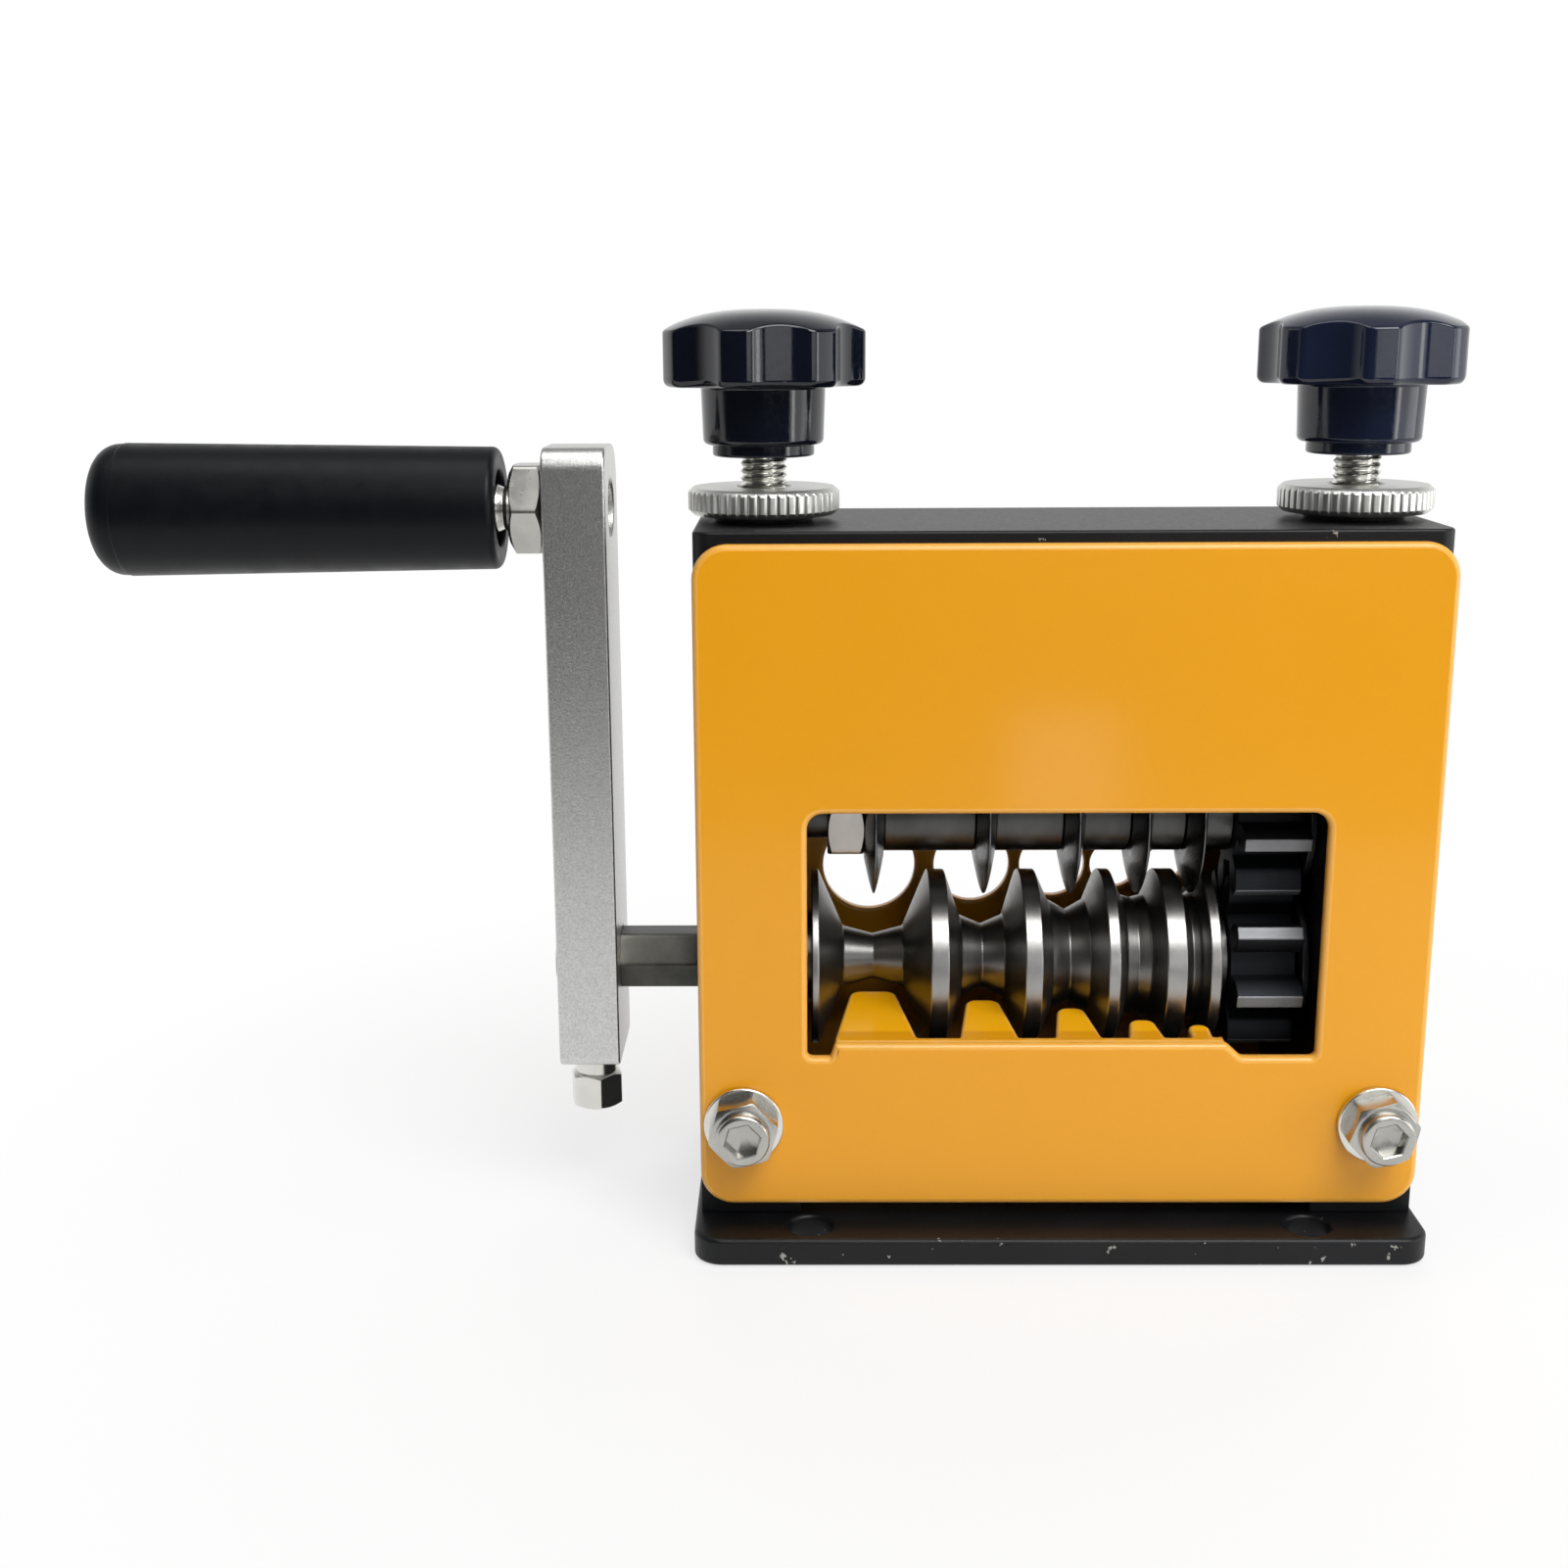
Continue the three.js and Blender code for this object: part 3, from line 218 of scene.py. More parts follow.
def turn(degrees, axis):
    return Matrix.Rotation(math.radians(degrees), 4, axis)


ALONG_X = turn(90, "Y")  # what was built up Z runs along +X
ALONG_FRONT = turn(90, "X")  # what was built up Z runs along -Y, its own Y up
# What was drawn in X and Y lies in Y and Z, and what was built up Z runs along +X
ACROSS = Matrix(((0, 0, 1, 0), (1, 0, 0, 0), (0, 1, 0, 0), (0, 0, 0, 1)))


def merged(*meshes):
    total = bmesh.new()
    for bm in meshes:
        mesh = bpy.data.meshes.new("part")
        bm.to_mesh(mesh)
        bm.free()
        total.from_mesh(mesh)
        bpy.data.meshes.remove(mesh)
    return total


def finish_mesh(mesh, material):
    mesh.shade_smooth()
    mesh.set_sharp_from_angle(angle=SHARP)
    mesh.materials.clear()
    mesh.materials.append(material)


def piece(name, bm, material, body, node):
    """Makes an object of the mesh, which rides on a body and stands for a node."""
    mesh = bpy.data.meshes.new(name)
    bm.to_mesh(mesh)
    bm.free()
    finish_mesh(mesh, material)
    thing = bpy.data.objects.new(name, mesh)
    bpy.context.scene.collection.objects.link(thing)
    normals = thing.modifiers.new("normals", "WEIGHTED_NORMAL")
    normals.keep_sharp = True
    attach(thing, body)
    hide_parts(node)
    return thing


SAME_PLANE = math.radians(1)


def softened(node, material, body, width):
    """A copy of a node's mesh with its edges rounded."""
    bm = bmesh.new()
    bm.from_mesh(frame["nodes"][node].data)
    bmesh.ops.remove_doubles(bm, verts=bm.verts, dist=WELD)
    bmesh.ops.dissolve_limit(bm, angle_limit=SAME_PLANE, verts=bm.verts, edges=bm.edges)
    thing = piece(node + "_soft", bm, material, body, node)
    bevel = thing.modifiers.new("edges", "BEVEL")
    bevel.width = width * MM
    bevel.segments = 3
    bevel.limit_method = "ANGLE"
    bevel.angle_limit = SHARP
    thing.modifiers.move(1, 0)


# Materials
class Nodes:
    """A node tree, with a call for each kind of node that is used here."""

    def __init__(self, tree):
        self.tree = tree

    def add(self, kind, **settings):
        node = self.tree.nodes.new("ShaderNode" + kind)
        for key, entry in settings.items():
            setattr(node, key, entry)
        return node

    def link(self, output, target):
        self.tree.links.new(output, target)

    def put(self, node, name, entry):
        socket = node.inputs[name]
        if isinstance(entry, bpy.types.NodeSocket):
            self.link(entry, socket)
        else:
            socket.default_value = entry

    def place(self, scale=(1, 1, 1), start=(0, 0, 0)):
        """Object coordinates in millimetres, stretched by scale, with start added."""
        source = self.add("TexCoord")
        mapping = self.add("Mapping")
        self.link(source.outputs["Object"], mapping.inputs["Vector"])
        mapping.inputs["Scale"].default_value = [entry / MM for entry in scale]
        mapping.inputs["Location"].default_value = start
        return mapping.outputs["Vector"]

    def noise(self, scale, detail=2, roughness=0.5, vector=None):
        node = self.add("TexNoise")
        self.link(vector or self.place(), node.inputs["Vector"])
        self.put(node, "Scale", scale)
        self.put(node, "Detail", detail)
        self.put(node, "Roughness", roughness)
        return node.outputs["Fac"]

    def spread(self, source, low, high, to_low=0.0, to_high=1.0):
        """Maps a number from one range to another and holds it there."""
        node = self.add("MapRange")
        names = ("Value", "From Min", "From Max", "To Min", "To Max")
        for name, entry in zip(names, (source, low, high, to_low, to_high)):
            self.put(node, name, entry)
        return node.outputs["Result"]

    def math(self, operation, first, second=0.0):
        node = self.add("Math", operation=operation)
        self.put(node, 0, first)
        self.put(node, 1, second)
        return node.outputs["Value"]

    def mix(self, share, first, second):
        node = self.add("Mix", data_type="RGBA")
        self.put(node, "Factor", share)
        self.put(node, 6, first)
        self.put(node, 7, second)
        return node.outputs[2]

    def bump(self, height, distance, strength=1.0, before=None):
        """Distance is in millimetres."""
        node = self.add("Bump")
        self.put(node, "Height", height)
        self.put(node, "Distance", distance * MM)
        self.put(node, "Strength", strength)
        if before:
            self.link(before, node.inputs["Normal"])
        return node.outputs["Normal"]


class Material(Nodes):
    def __init__(self, name):
        self.material = bpy.data.materials.new(name)
        self.material.use_nodes = True
        super().__init__(self.material.node_tree)
        self.shader = self.tree.nodes["Principled BSDF"]

    def finish(self, **inputs):
        """Sets the shader's sockets, whose names have _ for a space."""
        for name, entry in inputs.items():
            self.put(self.shader, name.replace("_", " "), entry)
        return self.material


def colour(red, green, blue):
    """An sRGB colour from 0 to 255 as linear light."""
    linear = [((c / 255 + 0.055) / 1.055) ** 2.4 if c > 10 else c / 255 / 12.92 for c in (red, green, blue)]
    return (*linear, 1.0)


# How far back the comb lies, from just behind the front sheet to well before the rear panel; there the coat
# is painted lighter, a painted light on the comb
LIT_COMB_STARTS = (-22.5, -21.5)
LIT_COMB_ENDS = (5, 0)


def yellow_coat():
    """Glossy powder coat with orange peel, a painted highlight on its rounded edges and a painted light that
    makes the comb lighter.
    """
    n = Material("yellow_coat")
    cloud = n.spread(n.noise(0.012, 2), 0.3, 0.7)
    speck = n.spread(n.noise(1.4, 2), 0.3, 0.7)
    tone = n.mix(cloud, colour(224, 152, 10), colour(227, 155, 14))
    tone = n.mix(n.math("MULTIPLY", speck, 0.04), tone, colour(240, 180, 60))
    split = n.add("SeparateXYZ")
    n.link(n.place(), split.inputs[0])
    depth = split.outputs["Y"]
    # Painted light: the comb's faces are painted a lighter, more saturated yellow, as if better lit
    comb = n.math("MULTIPLY", n.spread(depth, *LIT_COMB_STARTS), n.spread(depth, *LIT_COMB_ENDS))
    tone = n.mix(comb, tone, colour(250, 178, 8))
    # Painted highlight: the rounded edges are mixed towards a pale yellow
    rim = n.add("Attribute", attribute_name=RIM).outputs["Fac"]
    tone = n.mix(n.math("MULTIPLY", rim, 0.3), tone, colour(250, 200, 120))
    peel = n.bump(n.noise(0.9, 2, 0.45), 0.02)
    grain = n.bump(n.noise(2.4, 2, 0.6), 0.002, before=peel)
    rough = n.spread(n.noise(0.12, 2), 0.3, 0.7, 0.28, 0.31)
    n.finish(Base_Color=tone, Roughness=rough, Normal=grain, Specular_IOR_Level=0.35)
    return n.finish(Coat_Weight=0.35, Coat_Roughness=0.11)


def black_coat():
    """Satin powder coat with fine grain and small pale chips."""
    n = Material("black_coat")
    tone = n.mix(n.spread(n.noise(0.05, 4), 0.35, 0.65), colour(10, 11, 13), colour(16, 17, 20))
    rim = n.add("Attribute", attribute_name=RIM).outputs["Fac"]
    exposed = n.math("ADD", n.noise(0.3, 5, 0.62), n.math("MULTIPLY", rim, 0.08))
    chips = n.spread(exposed, 0.75, 0.765)
    tone = n.mix(chips, tone, colour(150, 148, 142))
    grain = n.bump(n.noise(2.6, 3, 0.6), 0.02)
    fine = n.bump(n.noise(6, 2, 0.6), 0.012, before=grain)
    rough = n.spread(n.noise(1.2, 3), 0.3, 0.7, 0.37, 0.43)
    return n.finish(Base_Color=tone, Roughness=rough, Normal=fine, Specular_IOR_Level=0.28)


def phenolic(name, dark, light):
    """Polished black moulded resin."""
    n = Material(name)
    tone = n.mix(n.noise(0.2, 3), colour(*dark), colour(*light))
    wave = n.bump(n.noise(0.14, 2), 0.02)
    scuff = n.spread(n.noise(0.8, 5, 0.7), 0.4, 0.75, 0.07, 0.17)
    return n.finish(Base_Color=tone, Roughness=scuff, Normal=wave)


def grip_plastic():
    """Satin black plastic with a fine spark-eroded grain."""
    n = Material("grip_plastic")
    tone = n.mix(n.noise(0.15, 3), colour(6, 8, 12), colour(11, 14, 19))
    grain = n.bump(n.noise(4.2, 3, 0.65), 0.02)
    rough = n.spread(n.noise(0.25, 4), 0.3, 0.7, 0.34, 0.44)
    return n.finish(Base_Color=tone, Roughness=rough, Normal=grain, Specular_IOR_Level=0.18)


def metal(name, dark, light, rough, lines=None, line_depth=0.004, grain=0.0, scratch=0.03):
    """Bare or plated metal. Lines are the tool marks' stretch along each axis, in cycles per millimetre."""
    n = Material(name)
    cloud = n.noise(0.08, 4, 0.6)
    normal = n.bump(n.noise(0.3, 4, 0.6), scratch * 0.1)
    marks = cloud
    if lines:
        marks = n.noise(1, 2, 0.5, n.place(lines))
        normal = n.bump(marks, line_depth, before=normal)
    if grain:
        normal = n.bump(n.noise(5, 3, 0.7), grain, before=normal)
    tone = n.mix(n.spread(cloud, 0.35, 0.65), colour(*dark), colour(*light))
    wear = n.spread(marks, 0.25, 0.75, rough[0], rough[1])
    return n.finish(Base_Color=tone, Metallic=1.0, Roughness=wear, Normal=normal)


WORN_AND_LIT_FADE = 0.15  # over how many millimetres the lighter outer part begins, partly wear and partly painted highlight


def worn_and_lit_steel(name, axis, reach, inner, outer, rough, lines):
    """Steel in two tones, lighter further from its shaft's axis than reach. The lighter outer lands are
    partly rubbed by wear and partly a painted highlight; the darker faces nearer the axis are painted shade.
    """
    n = Material(name)
    across = n.place((0, 1, 1), (0, 0, -axis))
    length = n.add("VectorMath", operation="LENGTH")
    n.link(across, length.inputs[0])
    # Painted: outer lands lighter, partly wear and partly painted highlight; faces nearer the axis darker as
    # painted shade
    bright = n.spread(length.outputs["Value"], reach - WORN_AND_LIT_FADE, reach)
    cloud = n.spread(n.noise(0.08, 4, 0.6), 0.35, 0.65, 0.9, 1.1)
    tone = n.mix(bright, colour(*inner), colour(*outer))
    shade = n.add("VectorMath", operation="SCALE")
    n.link(tone, shade.inputs[0])
    n.link(cloud, shade.inputs["Scale"])
    marks = n.noise(1, 2, 0.5, n.place(lines))
    normal = n.bump(marks, 0.0005, before=n.bump(n.noise(0.3, 4, 0.6), 0.003))
    wear = n.spread(marks, 0.25, 0.75, rough[0], rough[1])
    return n.finish(Base_Color=shade.outputs["Vector"], Metallic=1.0, Roughness=wear, Normal=normal)


def aluminium():
    """Bead-blasted aluminium, with a coarse sparkle."""
    n = Material("aluminium")
    speck = n.spread(n.noise(2.6, 2, 0.7), 0.3, 0.7)
    tone = n.mix(speck, colour(190, 190, 188), colour(222, 222, 220))
    blast = n.bump(n.noise(2, 3, 0.7), 0.04)
    rough = n.spread(n.noise(1.6, 3), 0.3, 0.7, 0.3, 0.36)
    return n.finish(Base_Color=tone, Metallic=1.0, Roughness=rough, Normal=blast)


YELLOW = yellow_coat()
BLACK = black_coat()
PHENOLICS = {
    "left": phenolic("black_phenolic", (8, 12, 22), (11, 16, 29)),
    "right": phenolic("blue_black_phenolic", (19, 26, 44), (24, 32, 54)),
}
GRIP = grip_plastic()
ALUMINIUM = aluminium()
ZINC = metal("zinc", (214, 213, 207), (232, 231, 226), (0.18, 0.3), grain=0.003)
SATIN_ZINC = metal("satin_zinc", (172, 171, 166), (192, 191, 186), (0.22, 0.34), grain=0.004)
DULL_ZINC = metal("dull_zinc", (212, 212, 208), (230, 230, 226), (0.3, 0.42), grain=0.004)
NUT_STEEL = metal("nut_steel", (176, 174, 170), (196, 194, 190), (0.34, 0.44), grain=0.012)
DARK_STEEL = metal("dark_steel", (72, 74, 78), (96, 98, 102), (0.3, 0.45), grain=0.008)
BRONZE = metal("bronze", (138, 98, 52), (168, 124, 72), (0.3, 0.45), grain=0.01)
BLADE_STEEL = metal(
    "blade_steel",
    (96, 97, 99),
    (116, 117, 118),
    (0.26, 0.34),
    lines=(0.2, 1.2, 1.2),
    line_depth=0.001,
)
WASHER_STEEL = metal(
    "washer_steel",
    (58, 60, 64),
    (72, 74, 78),
    (0.38, 0.5),
    lines=(0.1, 3, 3),
    line_depth=0.0015,
    grain=0.003,
)
SPACER_STEEL = metal(
    "spacer_steel",
    (74, 74, 74),
    (88, 88, 87),
    (0.3, 0.38),
    lines=(2, 0.04, 0.04),
    line_depth=0.0005,
)
BAR_STEEL = metal(
    "bar_steel",
    (64, 64, 60),
    (86, 85, 80),
    (0.3, 0.42),
    lines=(0.05, 2.5, 2.5),
    grain=0.01,
)
# Ridge lands painted lighter, partly wear and partly painted highlight; groove walls and floors darker, a
# painted shade
ROLLER_STEEL = worn_and_lit_steel(
    "roller_steel",
    axis=ROLLER_Z,
    reach=18.8,
    inner=(122, 121, 119),
    outer=(164, 163, 161),
    rough=(0.3, 0.38),
    lines=(3, 0.03, 0.03),
)
# Tooth tips painted lighter as a painted highlight; flanks and roots darker, partly the gear's own dark
# finish and partly painted shade
GEAR_STEELS = {
    name: worn_and_lit_steel(
        name + "_steel",
        axis=axis,
        reach=19.15,
        inner=(50, 52, 56),
        outer=(146, 147, 150),
        rough=(0.54, 0.64),
        lines=(0.1, 3, 3),
    )
    for name, axis in (("drive_gear", ROLLER_Z), ("blade_gear", BLADE_Z))
}
KEPT_LOOKS = {"dark_steel": DARK_STEEL, "bronze": BRONZE}  # slots of the nodes that keep their own mesh


# Frame: plates and blocks
PLATE_EDGE = 1.0
BOLT_HOLE = 4.3
BASE_HOLE = 4.5
BASE_HOLE_X = 52
BASE_HOLE_Y = 31
BASE_CORNER = 6


def base_plate():
    low, high = node_box("base_plate")
    outline = rectangle(low.x, low.y, high.x, high.y, BASE_CORNER)
    places = [(x, y) for x in (-BASE_HOLE_X, BASE_HOLE_X) for y in (-BASE_HOLE_Y, BASE_HOLE_Y)]
    bm = plate(outline, [circle(x, y, BASE_HOLE) for x, y in places], high.z, PLATE_EDGE)
    piece("base_plate_finish", bm, BLACK, "frame", "base_plate")


def box_mesh(low, high):
    bm = bmesh.new()
    bmesh.ops.create_cube(bm, size=1)
    size = (high - low) * MM
    middle = (high + low) / 2
    return moved(bm, shift(*middle) @ Matrix.Diagonal((*size, 1)))


TOP_THICKNESS = 13.5
TOP_CORNER = 3.5
TOP_EDGE = 0.6
TONGUE_WIDTH = 36
TONGUE_INNER = 54
TONGUE_OUTER = 68.4


def top_plate():
    """The plate with its two tongues, which go down into the frame."""
    low, high = node_box("top_plate")
    under = high.z - TOP_THICKNESS
    outline = rectangle(low.x, low.y, high.x, high.y, TOP_CORNER)
    bm = moved(plate(outline, [], TOP_THICKNESS, TOP_EDGE), shift(0, 0, under))
    tongues = []
    for side in (-1, 1):
        left, right = sorted((side * TONGUE_INNER, side * TONGUE_OUTER))
        bottom = Vector((left, -TONGUE_WIDTH / 2, low.z))
        top = Vector((right, TONGUE_WIDTH / 2, under + PLATE_EDGE))
        tongues.append(box_mesh(bottom, top))
    piece("top_plate_finish", merged(bm, *tongues), BLACK, "frame", "top_plate")


def panel_bolt_place(side):
    low, high = node_box("front_%s_bolt" % side)
    return (low.x + high.x) / 2, (low.z + high.z) / 2


# Grooves of the feed roller from left to right: width at the ridges, width and radius of the floor, depth
# of the V in it, radius of the feed hole behind, and the comb finger in front: its width, its tip's width
# and how far back it reaches
ROLLER_LEFT = -51.5
RIDGE_WIDTHS = (1.5, 3.7, 3.5, 2.3, 4.1, 2.25)
RIDGE_RADIUS = 19
GROOVE_FIELDS = ("width", "floor", "radius", "vee", "hole", "finger", "tip", "reach")
GROOVE_ROWS = (
    (23.7, 13, 6.6, 1.7, 10.5, 17.2, 9.6, 26),
    (16.1, 9.4, 9, 2, 8.6, 12.4, 7, 21.5),
    (14, 8.1, 12.4, 2.3, 7.4, 9.8, 5.6, 17.5),
    (9.9, 5.2, 13.4, 0.7, 5.4, 7.6, 5, 11.8),
    (4.95, 2.6, 14, 0.75, 4.2, 4.5, 4.4, 9.5),
)
GROOVES = [dict(zip(GROOVE_FIELDS, row)) for row in GROOVE_ROWS]


def groove_starts():
    starts = []
    x = ROLLER_LEFT
    for ridge, groove in zip(RIDGE_WIDTHS, GROOVES):
        starts.append(x + ridge)
        x += ridge + groove["width"]
    return starts


GROOVE_STARTS = groove_starts()
GROOVE_CENTRES = [start + groove["width"] / 2 for start, groove in zip(GROOVE_STARTS, GROOVES)]
ROLLER_RIGHT = GROOVE_STARTS[-1] + GROOVES[-1]["width"] + RIDGE_WIDTHS[-1]

# Front panel
PANEL_THICKNESS = 3
PANEL_EDGE = 1.2
PANEL_CORNER = 7
PANEL_CORNER_STEPS = 14
WINDOW_SIDE = 52.5
WINDOW_BOTTOM = 42
WINDOW_TOP = 94
WINDOW_CORNER = 3.3
WINDOW_LOW_CORNER = 1.2
COMB_Z = 45
COMB_RISE = 6  # degrees
COMB_LIP = 2
COMB_SLANT = 3.2
COMB_SLOT = 3.6
SLOT_CORNER = 0.5
LAST_SLOT_DEEPER = 0.6
NOSE_RADIUS = 2.6
NOSE_SHARE = 0.9  # of half the tip's width, where a finger is narrow
COMB_EDGE = 0.9
COMB_LEFT = GROOVE_CENTRES[0] - GROOVES[0]["finger"] / 2
COMB_RIGHT = GROOVE_CENTRES[-1] + GROOVES[-1]["finger"] / 2 + COMB_LIP


def window_outline():
    """The window, whose lower side is raised where the comb is bent in from it."""
    points = [
        (-WINDOW_SIDE, WINDOW_BOTTOM, WINDOW_LOW_CORNER),
        (COMB_LEFT - 1, WINDOW_BOTTOM, 0.6),
        (COMB_LEFT, COMB_Z, 0.8),
        (COMB_RIGHT, COMB_Z, 2.2),
        (COMB_RIGHT + COMB_SLANT, WINDOW_BOTTOM, 1.5),
        (WINDOW_SIDE, WINDOW_BOTTOM, WINDOW_LOW_CORNER),
        (WINDOW_SIDE, WINDOW_TOP, WINDOW_CORNER),
        (-WINDOW_SIDE, WINDOW_TOP, WINDOW_CORNER),
    ]
    return rounded(points, closed=True, steps=8)


def comb_outline():
    """Seen from above, Y is the depth behind the panel's face. Slots and fingers have round corners."""
    points = [(COMB_RIGHT, PANEL_EDGE), (COMB_RIGHT, COMB_SLOT + LAST_SLOT_DEEPER, SLOT_CORNER)]
    for centre, groove in reversed(list(zip(GROOVE_CENTRES, GROOVES))):
        half, tip, reach = groove["finger"] / 2, groove["tip"] / 2, groove["reach"]
        nose = min(NOSE_RADIUS, tip * NOSE_SHARE)
        points += [
            (centre + half, COMB_SLOT, SLOT_CORNER),
            (centre + tip, reach, nose),
            (centre - tip, reach, nose),
            (centre - half, COMB_SLOT, SLOT_CORNER),
        ]
    points[-1] = points[-1][:2]
    points.append((COMB_LEFT, PANEL_EDGE))
    return rounded(points, closed=True, steps=7)


def panel_outline(low, high):
    return rectangle(low.x, low.z, high.x, high.z, PANEL_CORNER, steps=PANEL_CORNER_STEPS)


def panel_bolt_holes():
    return [circle(*panel_bolt_place(side), BOLT_HOLE) for side in ("left", "right")]


def front_panel():
    low, high = node_box("front_panel")
    holes = [window_outline()] + panel_bolt_holes()
    sheet = plate(panel_outline(low, high), holes, PANEL_THICKNESS, PANEL_EDGE)
    moved(sheet, shift(0, low.y + PANEL_THICKNESS, 0) @ ALONG_FRONT)
    comb = plate(comb_outline(), [], PANEL_THICKNESS, COMB_EDGE)
    moved(comb, shift(0, low.y, COMB_Z) @ turn(COMB_RISE, "X") @ shift(0, 0, -PANEL_THICKNESS))
    piece("front_panel_finish", merged(sheet, comb), YELLOW, "frame", "front_panel")


FEED_HOLE_Z = 68.5
REAR_EDGE = 0.8


def rear_panel():
    low, high = node_box("rear_panel")
    pairs = zip(GROOVE_CENTRES, GROOVES)
    holes = [circle(x, FEED_HOLE_Z, groove["hole"], ROUND) for x, groove in pairs]
    bm = plate(panel_outline(low, high), holes + panel_bolt_holes(), PANEL_THICKNESS, REAR_EDGE)
    moved(bm, shift(0, high.y, 0) @ ALONG_FRONT)
    piece("rear_panel_finish", bm, YELLOW, "frame", "rear_panel")


# Hexagons
def hex_reach(across, angle, turned_by=0.0):
    """The distance from the centre to the side of a hexagon, which has a corner at angle 0."""
    sector = (angle - turned_by) % (math.pi / 3) - math.pi / 6
    return across / 2 / math.cos(sector)


HEX_CHAMFER_SLOPE = math.tan(math.radians(30))
HEX_CORNER_LAND = 0.985  # the turned-down corner's share of the sharp one


def hexagon_rows(across, low, high, chamfer_low=True, chamfer_high=True, turned_by=0.0, face_share=0.97):
    """Rows up the outside of a hexagon. Its corners are turned off at the ends, to a share of its width."""
    corner = across / math.sqrt(3)
    face = across / 2 * face_share

    def reach(angle):
        return min(hex_reach(across, angle, turned_by), corner * HEX_CORNER_LAND)

    def drop(angle):
        return (reach(angle) - face) * HEX_CHAMFER_SLOPE

    rows = []
    if chamfer_low:
        rows += [(face, low), (reach, lambda angle: low + drop(angle))]
    else:
        rows.append((reach, low))
    if chamfer_high:
        rows += [(reach, lambda angle: high - drop(angle)), (face, high)]
    else:
        rows.append((reach, high))
    return rows


def hex_nut(across, bore, thickness, face_share):
    sink = 0.6
    rows = [(bore, sink), (bore + sink, 0)]
    rows += hexagon_rows(across, 0, thickness, face_share=face_share)
    rows += [(bore + sink, thickness), (bore, thickness - sink), (bore, sink)]
    return form(rows, FINE)


def panel_bolt_mesh():
    """Built up Z from the washer's face: shank, hexagon, round cap and a socket in it."""
    shank, length = 4, 20
    across, hex_height = 13, 5.4
    cap_radius, cap_face, total = 5.6, 4.4, 8.0
    socket, socket_edge, depth = 6.6, 0.25, 3.4
    rows = [(0, -length), (shank, -length), (shank, 0)]
    rows += hexagon_rows(across, 0, hex_height, chamfer_low=False)
    cap = [(cap_radius, hex_height, 0.0001), (cap_radius, total, 0.9), (cap_face, total, 0.1)]
    rows += [tuple(point) for point in rounded(cap, steps=5)]
    rows += [
        (lambda angle: hex_reach(socket, angle) + socket_edge, total),
        (lambda angle: hex_reach(socket, angle), total - socket_edge),
        (lambda angle: hex_reach(socket, angle), total - depth),
        (0, total - depth - 1),
    ]
    return form(rows, ROUND)


PANEL_WASHER = {"inner": 4.2, "outer": 8.3, "low": 0, "high": 1.6, "edge": 0.4}
BOLT_SPINS = {"front": 14, "rear": 40}


def panel_fasteners():
    thickness = PANEL_WASHER["high"]
    front = node_box("front_left_washer")[0].y + thickness
    rear = node_box("rear_left_washer")[1].y - thickness
    for side in ("left", "right"):
        x, z = panel_bolt_place(side)
        for end, face, facing in (("front", front, 0), ("rear", rear, 180)):
            place = shift(x, face, z) @ turn(facing, "Z") @ ALONG_FRONT
            name = "%s_%s" % (end, side)
            disc = moved(ring(**PANEL_WASHER), place)
            piece(name + "_washer_finish", disc, ZINC, "frame", name + "_washer")
            spun = place @ shift(0, 0, thickness) @ turn(BOLT_SPINS[end], "Z")
            piece(name + "_bolt_finish", moved(panel_bolt_mesh(), spun), SATIN_ZINC, "frame", name + "_bolt")


# Feed roller and gears
JOURNAL = 10
GEAR_SEAT = 7
SEAT_BORE = 7.2
GEAR_GAP = 0.1


def roller():
    low, high = node_box("feed_roller")
    shoulder = node_box("drive_gear")[0].x - GEAR_GAP
    ridge_edge, floor_edge, vee_edge = 0.35, 0.8, 0.6
    profile = [(0, low.x), (JOURNAL, low.x, 0.5), (JOURNAL, ROLLER_LEFT), (RIDGE_RADIUS, ROLLER_LEFT, 0.3)]
    for start, groove in zip(GROOVE_STARTS, GROOVES):
        wall = (groove["width"] - groove["floor"]) / 2
        radius, width = groove["radius"], groove["width"]
        profile += [
            (RIDGE_RADIUS, start, ridge_edge),
            (radius, start + wall, floor_edge),
            (radius - groove["vee"], start + width / 2, vee_edge),
            (radius, start + width - wall, floor_edge),
            (RIDGE_RADIUS, start + width, ridge_edge),
        ]
    profile += [(RIDGE_RADIUS, ROLLER_RIGHT, 0.3), (JOURNAL, ROLLER_RIGHT), (JOURNAL, shoulder, 0.3)]
    profile += [(GEAR_SEAT, shoulder), (GEAR_SEAT, high.x, 0.5), (0, high.x)]
    bm = moved(turned(profile, FINEST, 4), shift(0, 0, ROLLER_Z) @ ALONG_X)
    piece("feed_roller_finish", bm, ROLLER_STEEL, "drive", "feed_roller")


GEAR_TEETH = 8
GEAR_ADDENDUM = 3.5
PRESSURE_ANGLE = math.radians(20)
PITCH_RADIUS = 15.75
MESH_TURN = math.radians(13)
BACKLASH = 0.5
ROOT_RADIUS = PITCH_RADIUS - 4.3
UNDERCUT = math.radians(2.4)
GEAR_FACE = 14
GEAR_EDGE = 0.35
FLANK_STEPS = 8


def involute(angle):
    return math.tan(angle) - angle


